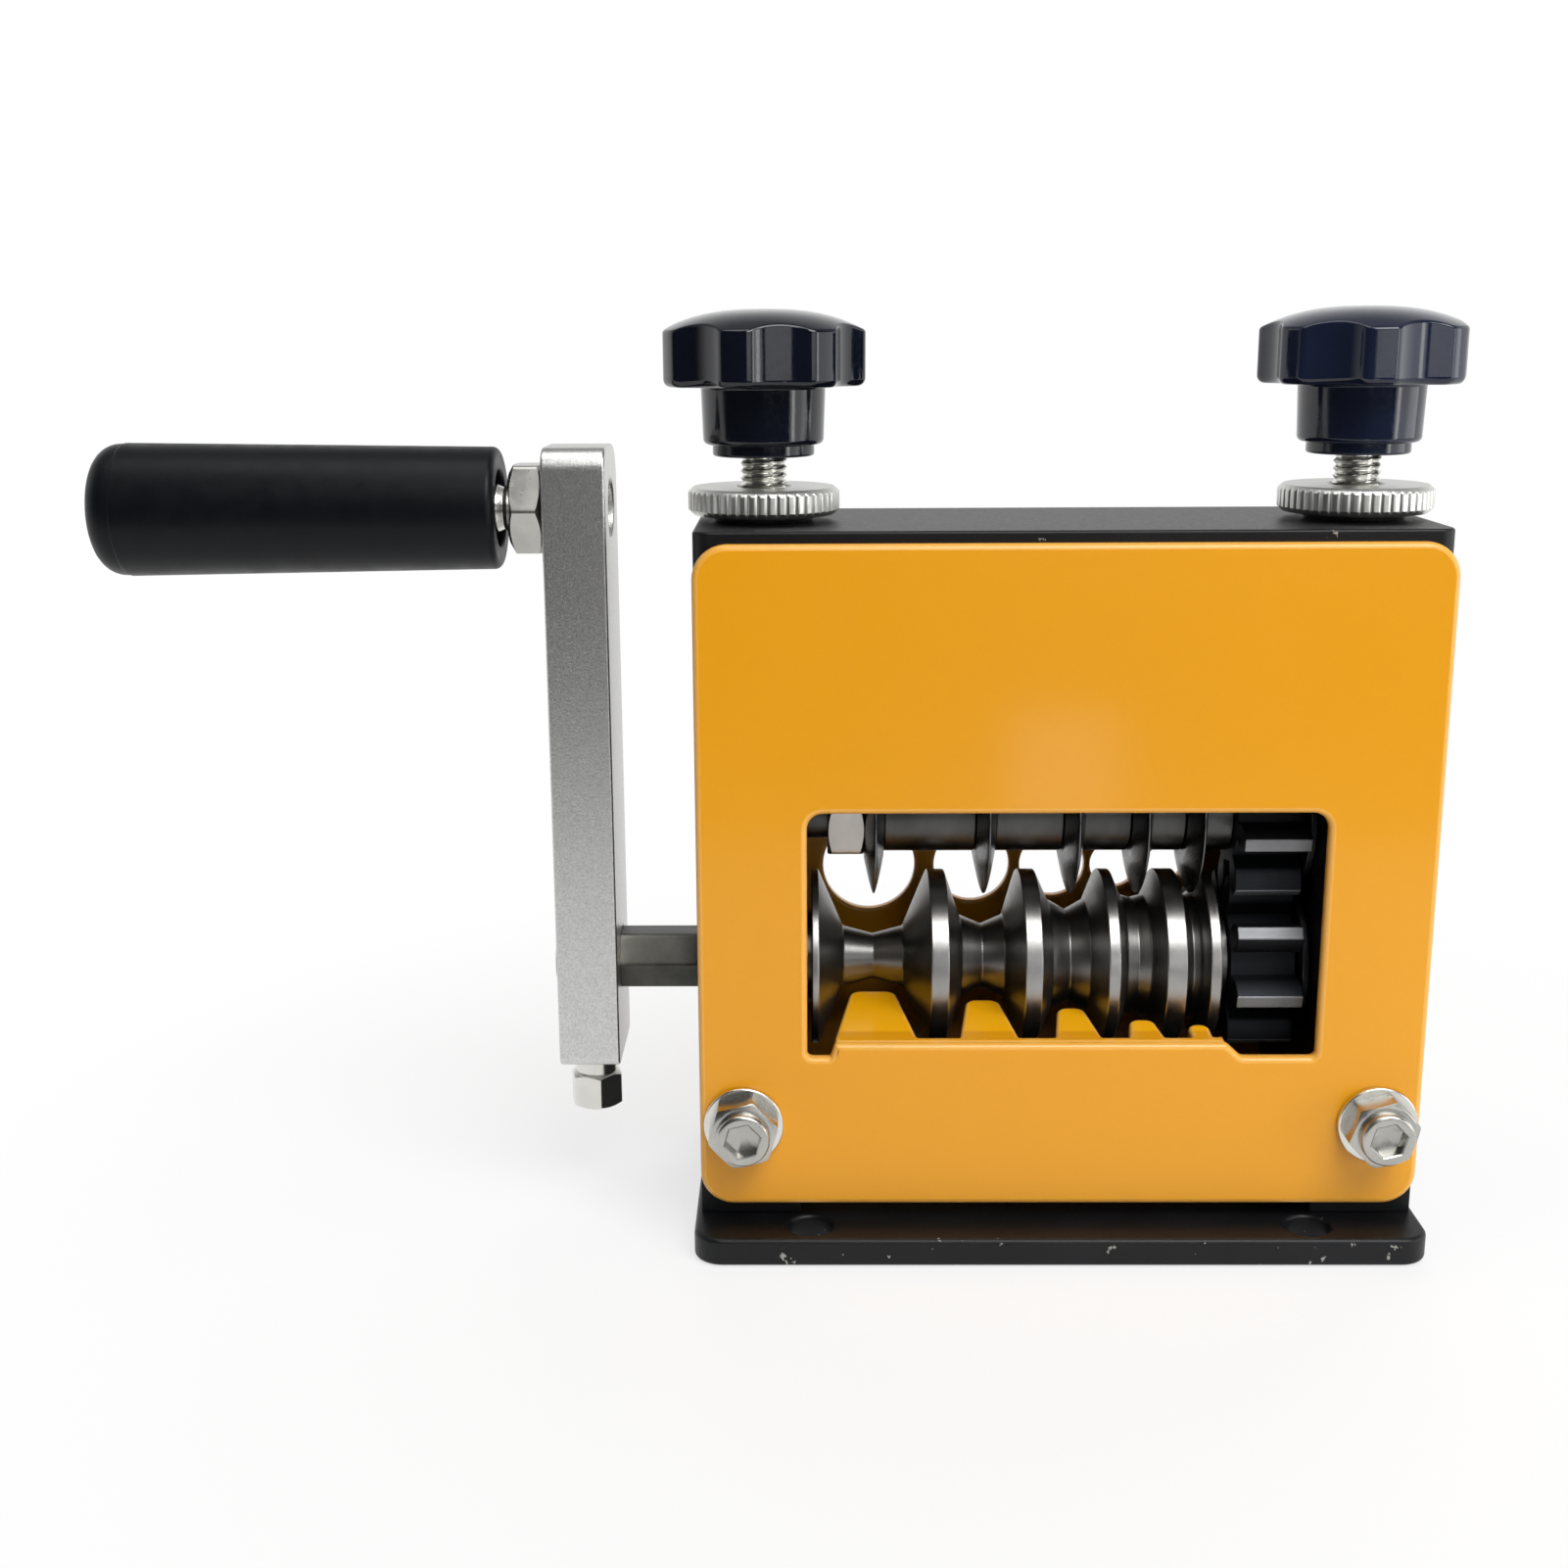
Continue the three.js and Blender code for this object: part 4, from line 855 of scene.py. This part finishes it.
def gear_outline(turned_by):
    base = PITCH_RADIUS * math.cos(PRESSURE_ANGLE)
    tip = PITCH_RADIUS + GEAR_ADDENDUM
    half_at_base = math.pi / (2 * GEAR_TEETH) - BACKLASH / (4 * PITCH_RADIUS) + involute(PRESSURE_ANGLE)
    flank = [(ROOT_RADIUS, half_at_base - UNDERCUT)]
    for i in range(FLANK_STEPS + 1):
        radius = tip if i == FLANK_STEPS else base + (tip - base) * i / FLANK_STEPS
        flank.append((radius, half_at_base - involute(math.acos(base / radius))))
    points = []
    for tooth in range(GEAR_TEETH):
        middle = turned_by + tooth * 2 * math.pi / GEAR_TEETH
        for side, run in ((-1, flank), (1, flank[::-1])):
            for radius, half in run:
                angle = middle + side * half
                point = (radius * math.cos(angle), radius * math.sin(angle))
                points.append((*point, GEAR_EDGE) if radius == tip else point)
    return rounded(points, closed=True, steps=4)


def gear(name, body, axis_z, bore, turned_by):
    """The teeth lie in the plane across the shaft, with the first one turned from +Y."""
    left = node_box(name)[0].x
    bm = plate(gear_outline(turned_by), [circle(0, 0, bore)], GEAR_FACE, GEAR_EDGE, 2)
    moved(bm, shift(left, 0, axis_z) @ ACROSS)
    piece(name + "_finish", bm, GEAR_STEELS[name], body, name)


def shaft_washer(name, body, axis_z, bore):
    low, high = node_box(name)
    radius = (high.y - low.y) / 2
    bm = moved(ring(bore, radius, low.x, high.x, 0.3), shift(0, 0, axis_z) @ ALONG_X)
    piece(name + "_finish", bm, WASHER_STEEL, body, name)


# Blade shaft
BLADE_BORE = 6.2
BLADE_RADIUS = 18
BLADE_HALF = 2  # half of the thickness
BLADE_FLAT = 10.5
BLADE_EDGE = 0.12
BLADE_CURVE = 0.8
BLADE_STEPS = 14


def blade_mesh():
    """A disc whose two faces are ground to its edge in a curve."""
    side = [(BLADE_BORE, BLADE_HALF)]
    for i in range(BLADE_STEPS + 1):
        t = i / BLADE_STEPS
        half = BLADE_EDGE + (BLADE_HALF - BLADE_EDGE) * (1 - t) ** BLADE_CURVE
        side.append((BLADE_FLAT + (BLADE_RADIUS - BLADE_FLAT) * t, half))
    left = [(radius, -half) for radius, half in side]
    return form(left + side[::-1] + [left[0]], FINE)


SPACER_RADIUS = 8.8
SPACER_EDGE = 0.35
BLADE_GAP = 0.1
NUT_ACROSS = 19
NUT_WIDER = 0.8
NUT_TURN = 15  # degrees


def blade_rotor():
    place = shift(0, 0, BLADE_Z) @ ALONG_X
    for i, x in enumerate(GROOVE_CENTRES, 1):
        name = "blade_%d" % i
        blade = moved(blade_mesh(), shift(x, 0, 0) @ place)
        piece(name + "_finish", blade, BLADE_STEEL, "blade_rotor", name)
    for i in range(1, len(GROOVES)):
        name = "blade_spacer_%d" % i
        low, high = node_box(name)
        spacer = moved(ring(BLADE_BORE, SPACER_RADIUS, low.x, high.x, SPACER_EDGE), place)
        piece(name + "_finish", spacer, SPACER_STEEL, "blade_rotor", name)
    low, high = node_box("blade_nut")
    nut = hex_nut(NUT_ACROSS, BLADE_BORE, high.x - low.x + NUT_WIDER, face_share=0.97)
    moved(nut, shift(low.x - NUT_WIDER, 0, BLADE_Z) @ ALONG_X @ turn(NUT_TURN, "Z"))
    piece("blade_nut_finish", nut, NUT_STEEL, "blade_rotor", "blade_nut")
    shaft()


def shaft():
    low, high = node_box("blade_shaft")
    journal, radius, step = 5, 6, -53.7
    collar = GROOVE_CENTRES[-1] + BLADE_HALF + BLADE_GAP
    shoulder = node_box("blade_gear")[0].x - GEAR_GAP
    profile = [
        (0, low.x),
        (journal, low.x, 0.4),
        (journal, step),
        (radius, step, 0.3),
        (radius, collar),
        (SPACER_RADIUS, collar, SPACER_EDGE),
        (SPACER_RADIUS, shoulder, SPACER_EDGE),
        (radius, shoulder),
        (radius, high.x, 0.4),
        (0, high.x),
    ]
    bm = moved(turned(profile), shift(0, 0, BLADE_Z) @ ALONG_X)
    piece("blade_shaft_finish", bm, SPACER_STEEL, "blade_rotor", "blade_shaft")


# Crank
ARM_LOW_CORNER = 2.5
ARM_BACK_CORNER = 8
ARM_FRONT_CORNER = 4.6
ARM_RISE = 0.4
ARM_HOLE = 6.2
ARM_EDGE = 0.55
BAR_ACROSS = 12
BAR_PLAY = 0.12


def crank_arm():
    """Drawn as seen along the drive bar, whose axis is at the origin."""
    low, high = node_box("crank_arm")
    half = (high.y - low.y) / 2
    bottom = low.z - ROLLER_Z
    top = high.z - ROLLER_Z + ARM_RISE
    corners = [
        (-half, bottom, ARM_LOW_CORNER),
        (half, bottom, ARM_LOW_CORNER),
        (half, top, ARM_BACK_CORNER),
        (-half, top, ARM_FRONT_CORNER),
    ]
    outline = rounded(corners, closed=True, steps=12)
    hexagon = circle(0, 0, (BAR_ACROSS / 2 + BAR_PLAY) / math.cos(math.pi / 6), 6)
    holes = [circle(0, HANDLE_Z - ROLLER_Z, ARM_HOLE), hexagon]
    bm = plate(outline, holes, high.x - low.x, ARM_EDGE)
    moved(bm, shift(low.x, 0, ROLLER_Z) @ ACROSS)
    piece("crank_arm_finish", bm, ALUMINIUM, "drive", "crank_arm")


def hex_bar():
    low, high = node_box("hex_drive_bar")
    rows = [(0, low.x)] + hexagon_rows(BAR_ACROSS, low.x, high.x) + [(0, high.x)]
    bm = moved(form(rows, ROUND), shift(0, 0, ROLLER_Z) @ ALONG_X @ turn(90, "Z"))
    piece("hex_bar_finish", bm, BAR_STEEL, "drive", "hex_drive_bar")


def set_bolt():
    low, high = node_box("crank_set_bolt")
    across, head, shank, lift, turned_by = 10.4, 7.9, 4.5, 0.6, 0.75
    bottom = low.z + lift
    top = bottom + head
    rows = [(0, bottom)] + hexagon_rows(across, bottom, top, turned_by=turned_by, face_share=0.9)
    rows += [(shank, top), (shank, high.z), (0, high.z)]
    bm = moved(form(rows, ROUND), shift((low.x + high.x) / 2, 0, 0))
    piece("set_bolt_finish", bm, ZINC, "drive", "crank_set_bolt")


# The handle's pieces are built along -X from the arm's outer face
ARM_FACE = node_box("crank_arm")[0].x
OUTWARDS = shift(ARM_FACE, 0, HANDLE_Z) @ turn(-90, "Y")


def from_arm(node):
    """How far from the arm's face a node starts and ends."""
    low, high = node_box(node)
    return ARM_FACE - high.x, ARM_FACE - low.x


def handle_nut():
    start, end = from_arm("handle_nut")
    across, bore = 18, 5.2
    nut = hex_nut(across, bore, end - start, face_share=0.86)
    moved(nut, OUTWARDS @ shift(0, 0, start) @ turn(30, "Z"))
    piece("handle_nut_finish", nut, SATIN_ZINC, "drive", "handle_nut")


def handle_spindle():
    """A pin with a shallow recess in its inner end, and a waisted collar before the grip."""
    start, end = from_arm("handle_spindle")
    recess, recess_depth, thread, pin = 2.9, 1, 5, 4.6
    flange, waist, collar = 5.6, 4.2, 4.9
    base = 7.8
    edge = 0.3
    profile = [
        (0, start + recess_depth),
        (recess, start + recess_depth),
        (recess, start, 0.2),
        (thread, start, 0.5),
        (thread, base),
        (flange, base + 0.1, edge),
        (waist, base + 1.2, edge),
        (collar, base + 2.6, edge),
        (collar, base + 4.1, edge),
        (pin, base + 4.1),
        (pin, end, 0.5),
        (0, end),
    ]
    piece("handle_spindle_finish", moved(turned(profile), OUTWARDS), ZINC, "drive", "handle_spindle")


def handle_grip():
    """Tapered, with a recess at its inner end and a fine step before its round outer end."""
    inner, outer = from_arm("handle_grip")
    bore, recess, recess_depth, closed_end = 5.2, 8, 2.2, 9
    inner_radius, widest, end_radius = 12.6, 13.75, 13.6
    step = outer - 6.2
    profile = [
        (0, outer - closed_end),
        (bore, outer - closed_end),
        (bore, inner + recess_depth),
        (recess, inner + recess_depth, 0.3),
        (recess, inner, 0.6),
        (inner_radius, inner, 1.4),
        (widest, step, 0.3),
        (end_radius, step + 0.3, 0.2),
        (end_radius, outer, 5),
        (0, outer),
    ]
    piece("handle_grip_finish", moved(turned(profile, FINE, 8), OUTWARDS), GRIP, "grip", "handle_grip")


# Knobs, studs and lock nuts
KNOB_RADIUS = 21
KNOB_LOBES = 7
SCALLOP_DEPTH = 2.5
SCALLOP_RADIUS = 13.7
LOBE_SOFTNESS = 0.13
KNOB_DOME = 4.3
KNOB_DOME_POWER = 2.6
KNOB_RIM = 11.1
KNOB_HUB_HEIGHT = 14
KNOB_CREASE = 0.5
KNOB_CREASE_STEPS = 4
KNOB_LOWER_EDGE = 1.6
KNOB_LOWER_STEPS = 6
KNOB_BORE = 4.9
KNOB_BORE_DEPTH = 8
DOME_RINGS = 14
LOBE_COLUMNS = 24
KNOB_TURNS = {"left": -78.5, "right": -70.5}  # degrees


def lobe_reach(angle):
    """Round lobes between scallops, the first of which is at angle 0, with softened corners."""
    off = math.remainder(angle, 2 * math.pi / KNOB_LOBES)
    centre = KNOB_RADIUS - SCALLOP_DEPTH + SCALLOP_RADIUS
    across = centre * math.sin(off)
    scallop = centre * math.cos(off) - math.sqrt(max(0, SCALLOP_RADIUS ** 2 - across ** 2))
    nearer, further = sorted((scallop, KNOB_RADIUS))
    return nearer - LOBE_SOFTNESS * math.log(1 + math.exp((nearer - further) / LOBE_SOFTNESS))


def dome_height(reach):
    return KNOB_HUB_HEIGHT + KNOB_RIM + KNOB_DOME * (1 - (reach / KNOB_RADIUS) ** KNOB_DOME_POWER)


def knob_mesh():
    """Built up Z: a stepped hub with a blind bore, then the lobes with their low dome."""
    foot, foot_height, hub_low, hub_high, under = 10.5, 2.3, 12.4, 12.8, 15
    hub = [
        (KNOB_BORE, 0),
        (foot, 0, 0.5),
        (foot, foot_height),
        (hub_low, foot_height, 1.2),
        (hub_high, KNOB_HUB_HEIGHT, 0.6),
        (under, KNOB_HUB_HEIGHT),
    ]
    rows = [(KNOB_BORE, KNOB_BORE_DEPTH)] + [tuple(point) for point in rounded(hub, steps=6)]
    for i in range(KNOB_LOWER_STEPS + 1):
        angle = math.pi / 2 * i / KNOB_LOWER_STEPS
        inset = KNOB_LOWER_EDGE * (1 - math.sin(angle))
        height = KNOB_HUB_HEIGHT + KNOB_LOWER_EDGE * (1 - math.cos(angle))
        rows.append((lambda a, inset=inset: lobe_reach(a) - inset, height))
    for i in range(KNOB_CREASE_STEPS + 1):
        angle = math.pi / 2 * i / KNOB_CREASE_STEPS
        inset = KNOB_CREASE * (1 - math.cos(angle))
        drop = KNOB_CREASE * (1 - math.sin(angle))
        rows.append((
            lambda a, inset=inset: lobe_reach(a) - inset,
            lambda a, inset=inset, drop=drop: dome_height(lobe_reach(a) - inset) - drop,
        ))
    for i in range(1, DOME_RINGS):
        share = 1 - i / DOME_RINGS
        rows.append((
            lambda a, share=share: (lobe_reach(a) - KNOB_CREASE) * share,
            lambda a, share=share: dome_height((lobe_reach(a) - KNOB_CREASE) * share),
        ))
    rows.append((0, dome_height(0)))
    return form(rows, KNOB_LOBES * LOBE_COLUMNS)


THREAD_PITCH = 1.5
THREAD_DEPTH = 0.65
THREAD_SHARPNESS = 2.3
THREAD_STEPS = 8  # rings for each pitch
STUD_RADIUS = 4.9


def stud_mesh(low, top):
    """A threaded rod: the thread is a ridge that climbs by one pitch each turn."""
    count = round((top - low) / THREAD_PITCH * THREAD_STEPS)

    def thread(height):
        def reach(angle):
            phase = (height / THREAD_PITCH - angle / (2 * math.pi)) % 1
            return STUD_RADIUS - THREAD_DEPTH * min(1, abs(phase - 0.5) * THREAD_SHARPNESS)
        return reach

    rows = [(0, low)]
    for i in range(count + 1):
        height = low + (top - low) * i / count
        rows.append((thread(height), height))
    rows.append((0, top))
    return form(rows, SMALL)


def stud_foot(low, shoulder):
    """The button in the bearing block's slot, and the neck above it."""
    button, height, neck, edge = 4.6, 3, 3.2, 0.3
    top = shoulder + 0.2
    return turned([
        (0, low),
        (button, low, edge),
        (button, low + height, edge),
        (neck, low + height),
        (neck, top),
        (0, top),
    ], SMALL)


LOCK_FLUTES = 48
LOCK_FLUTE_DEPTH = 0.34
LOCK_FLUTE_SHARPNESS = 2.8
LOCK_BORE = 5.3
FLUTE_COLUMNS = 8


def lock_nut_mesh():
    """Straight flutes cut into a turned blank with bevelled rims, over a smaller boss."""
    radius, thickness, bevel = 15.7, 5.6, 1.1
    boss, boss_height, undercut = 11.5, 1.2, 1.5

    def fluted(blank):
        def reach(angle):
            wave = abs(((angle * LOCK_FLUTES / (2 * math.pi)) % 1) - 0.5) * 2
            return min(blank, radius - LOCK_FLUTE_DEPTH * max(0, 1 - wave * LOCK_FLUTE_SHARPNESS))
        return reach

    rim = [
        (radius - bevel, 0),
        (radius - 0.55, bevel * 0.5),
        (radius, bevel),
        (radius, thickness - bevel),
        (radius - 0.3, thickness - bevel * 0.6),
        (radius - 0.65, thickness - bevel * 0.3),
        (radius - bevel, thickness),
    ]
    top = boss_height + thickness
    rows = [(LOCK_BORE, 0), (boss - undercut, 0), (boss, boss_height)]
    rows += [(fluted(reach), boss_height + height) for reach, height in rim]
    rows += [(LOCK_BORE + 0.9, top), (LOCK_BORE, top - 0.9), (LOCK_BORE, 0)]
    return form(rows, LOCK_FLUTES * FLUTE_COLUMNS)


STUD_SHOULDER = 7.3  # from its foot to the start of its thread
STUD_SHORTER = 5  # its top end is hidden in the knob


def knob_screws():
    for side, sign in (("left", -1), ("right", 1)):
        x = sign * STUD_X
        body = side + "_screw"
        knob_low = node_box(side + "_knob")[0].z
        knob = moved(knob_mesh(), shift(x, 0, knob_low) @ turn(KNOB_TURNS[side], "Z"))
        piece(side + "_knob_finish", knob, PHENOLICS[side], body, side + "_knob")
        low, high = node_box(side + "_adjusting_stud")
        shoulder = low.z + STUD_SHOULDER
        stud = merged(stud_mesh(shoulder, high.z - STUD_SHORTER), stud_foot(low.z, shoulder))
        moved(stud, shift(x, 0, 0))
        piece(side + "_stud_finish", stud, ZINC, body, side + "_adjusting_stud")
        lock_nut = side + "_lock_nut"
        nut = moved(lock_nut_mesh(), shift(x, 0, node_box(lock_nut)[0].z))
        piece(lock_nut + "_finish", nut, DULL_ZINC, lock_nut, lock_nut)


# Nodes that keep their own shape, some with rounded edges
def other_nodes():
    for side in ("left", "right"):
        softened(side + "_side_block", BLACK, "frame", 0.5)
    for side in ("left", "right"):
        softened(side + "_bearing_block", DARK_STEEL, "carriage", 0.25)
    for node, thing in frame["nodes"].items():
        if thing.hide_render:
            continue
        thing.data.materials.clear()
        thing.data.materials.append(KEPT_LOOKS[SLOTS[node]])


# Camera: fitted to the straight edges of the photograph, its angles in degrees
CAMERA_PLACE = (-52.787, -400.274, 189.154)
CAMERA_YAW = 0.6534
CAMERA_PITCH = 13.4058
CAMERA_ROLL = -0.3122
FOCAL_PIXELS = 1953.35
IMAGE_PIXELS = 1601
SENSOR = 36


def camera():
    data = bpy.data.cameras.new("camera")
    data.sensor_width = SENSOR
    data.lens = FOCAL_PIXELS * SENSOR / IMAGE_PIXELS
    data.clip_start = 0.01
    thing = bpy.data.objects.new("camera", data)
    bpy.context.scene.collection.objects.link(thing)
    heading = turn(CAMERA_YAW, "Z") @ turn(90 - CAMERA_PITCH, "X") @ turn(CAMERA_ROLL, "Z")
    thing.matrix_world = shift(*CAMERA_PLACE) @ heading
    bpy.context.scene.camera = thing


def direction(azimuth, elevation):
    """Azimuth is in degrees from the front (-Y) towards +X."""
    across, up = math.radians(azimuth), math.radians(elevation)
    return Vector((math.sin(across) * math.cos(up), -math.cos(across) * math.cos(up), math.sin(up)))


LAMPS_AIM = Vector((0, 0, 0.09))  # metres


def softbox(name, azimuth, elevation, distance, width, height, radiance, mirrored=True):
    """A lamp that looks at the middle of the machine, sized in metres. Radiance is how bright its face is."""
    data = bpy.data.lights.new(name, "AREA")
    data.shape = "RECTANGLE"
    data.size = width
    data.size_y = height
    data.energy = radiance * math.pi * width * height
    thing = bpy.data.objects.new(name, data)
    thing.visible_camera = False
    thing.visible_glossy = mirrored
    bpy.context.scene.collection.objects.link(thing)
    towards = direction(azimuth, elevation)
    thing.location = LAMPS_AIM + towards * distance
    thing.rotation_euler = (-towards).to_track_quat("-Z", "Y").to_euler()


def lights():
    """Each line: azimuth, elevation, distance, width, height and radiance."""
    softbox("key", 26, 40, 1.1, 1.0, 0.34, 4.6)
    softbox("overhead", 26, 56, 1.4, 0.9, 0.6, 6.8)
    softbox("front", 22, 8, 1.0, 0.8, 0.22, 1.6)
    softbox("top", -70, 76, 1.0, 0.5, 0.5, 2.4)
    softbox("right", 76, 2, 1.1, 1.1, 0.7, 1.6)
    softbox("right_core", 57, 4, 1.05, 0.11, 0.6, 4.0)
    softbox("low", 7.3, -11.3, 0.46, 0.045, 0.06, 2.6)
    softbox("rear", 165, 30, 1.3, 1.2, 0.7, 3.6, mirrored=False)


# The floor, in metres. It ends in front of the machine, and it turns white from near to far.
FLOOR_FRONT = -0.36
FLOOR_REACH = 4
FLOOR_Z = -0.0002
GLOW_NEAR = 0.09
GLOW_FAR = 0.26
GLOW_LEAST = 0.7


def floor():
    """Pale grey, and white to the camera and to mirrors away from the machine, so that its shadow stays."""
    n = Material("floor")
    grain = n.bump(n.noise(0.4, 3), 0.02)
    tone = n.mix(n.noise(0.01, 3), (0.8, 0.8, 0.8, 1), (0.83, 0.83, 0.83, 1))
    n.finish(Base_Color=tone, Roughness=0.7, Normal=grain)
    rays = n.add("LightPath").outputs
    place = n.add("TexCoord").outputs["Object"]
    reach = n.add("VectorMath", operation="LENGTH")
    n.link(place, reach.inputs[0])
    away = n.spread(reach.outputs["Value"], GLOW_NEAR, GLOW_FAR, GLOW_LEAST, 1.0)
    mirrored = n.math("MAXIMUM", rays["Is Glossy Ray"], rays["Is Transmission Ray"])
    shown = n.math("MULTIPLY", n.math("MAXIMUM", rays["Is Camera Ray"], mirrored), away)
    white = n.add("Emission")
    mixed = n.add("MixShader")
    n.link(shown, mixed.inputs[0])
    n.link(n.shader.outputs[0], mixed.inputs[1])
    n.link(white.outputs[0], mixed.inputs[2])
    n.link(mixed.outputs[0], n.tree.nodes["Material Output"].inputs["Surface"])
    bm = bmesh.new()
    sides = (-FLOOR_REACH, FLOOR_REACH)
    corners = [(x, FLOOR_FRONT) for x in sides] + [(x, FLOOR_REACH) for x in reversed(sides)]
    bm.faces.new([bm.verts.new((x, y, FLOOR_Z)) for x, y in corners])
    mesh = bpy.data.meshes.new("floor")
    bm.to_mesh(mesh)
    bm.free()
    mesh.materials.append(n.material)
    thing = bpy.data.objects.new("floor", mesh)
    bpy.context.scene.collection.objects.link(thing)


AMBIENT = 0.05
BEHIND = (-0.3, 0.1)  # the direction's Y, from in front to behind
HIGH = (0.3, 0.7)  # the direction's Z, where the white behind fades
HIGH_SHARE = 0.25


def world():
    """White where the camera looks, and behind the machine for reflections. Dim in front, as in a studio."""
    studio = bpy.data.worlds.new("studio")
    bpy.context.scene.world = studio
    studio.use_nodes = True
    n = Nodes(studio.node_tree)
    rays = n.add("LightPath").outputs
    split = n.add("SeparateXYZ")
    n.link(n.add("TexCoord").outputs["Generated"], split.inputs[0])
    behind = n.spread(split.outputs["Y"], *BEHIND)
    fade = n.spread(split.outputs["Z"], *HIGH, 1.0, HIGH_SHARE)
    backdrop = n.math("MULTIPLY", behind, fade)
    mirrored = n.math("MAXIMUM", rays["Is Glossy Ray"], rays["Is Transmission Ray"])
    shown = n.math("MAXIMUM", rays["Is Camera Ray"], n.math("MULTIPLY", mirrored, backdrop))
    background = n.tree.nodes["Background"]
    n.put(background, "Strength", n.spread(shown, 0.0, 1.0, AMBIENT, 1.0))
    n.put(background, "Color", (1, 1, 1, 1))


def build():
    camera()
    base_plate()
    top_plate()
    front_panel()
    rear_panel()
    panel_fasteners()
    roller()
    gear("drive_gear", "drive", ROLLER_Z, SEAT_BORE, math.pi / 2 + MESH_TURN)
    gear("blade_gear", "blade_rotor", BLADE_Z, BLADE_BORE, math.pi / GEAR_TEETH - math.pi / 2 - MESH_TURN)
    shaft_washer("roller_thrust_washer", "drive", ROLLER_Z, SEAT_BORE)
    shaft_washer("blade_thrust_washer", "blade_rotor", BLADE_Z, BLADE_BORE)
    blade_rotor()
    crank_arm()
    hex_bar()
    set_bolt()
    handle_nut()
    handle_spindle()
    handle_grip()
    knob_screws()
    other_nodes()
    lights()
    floor()
    world()
    bpy.context.scene.view_settings.view_transform = "Standard"


build()
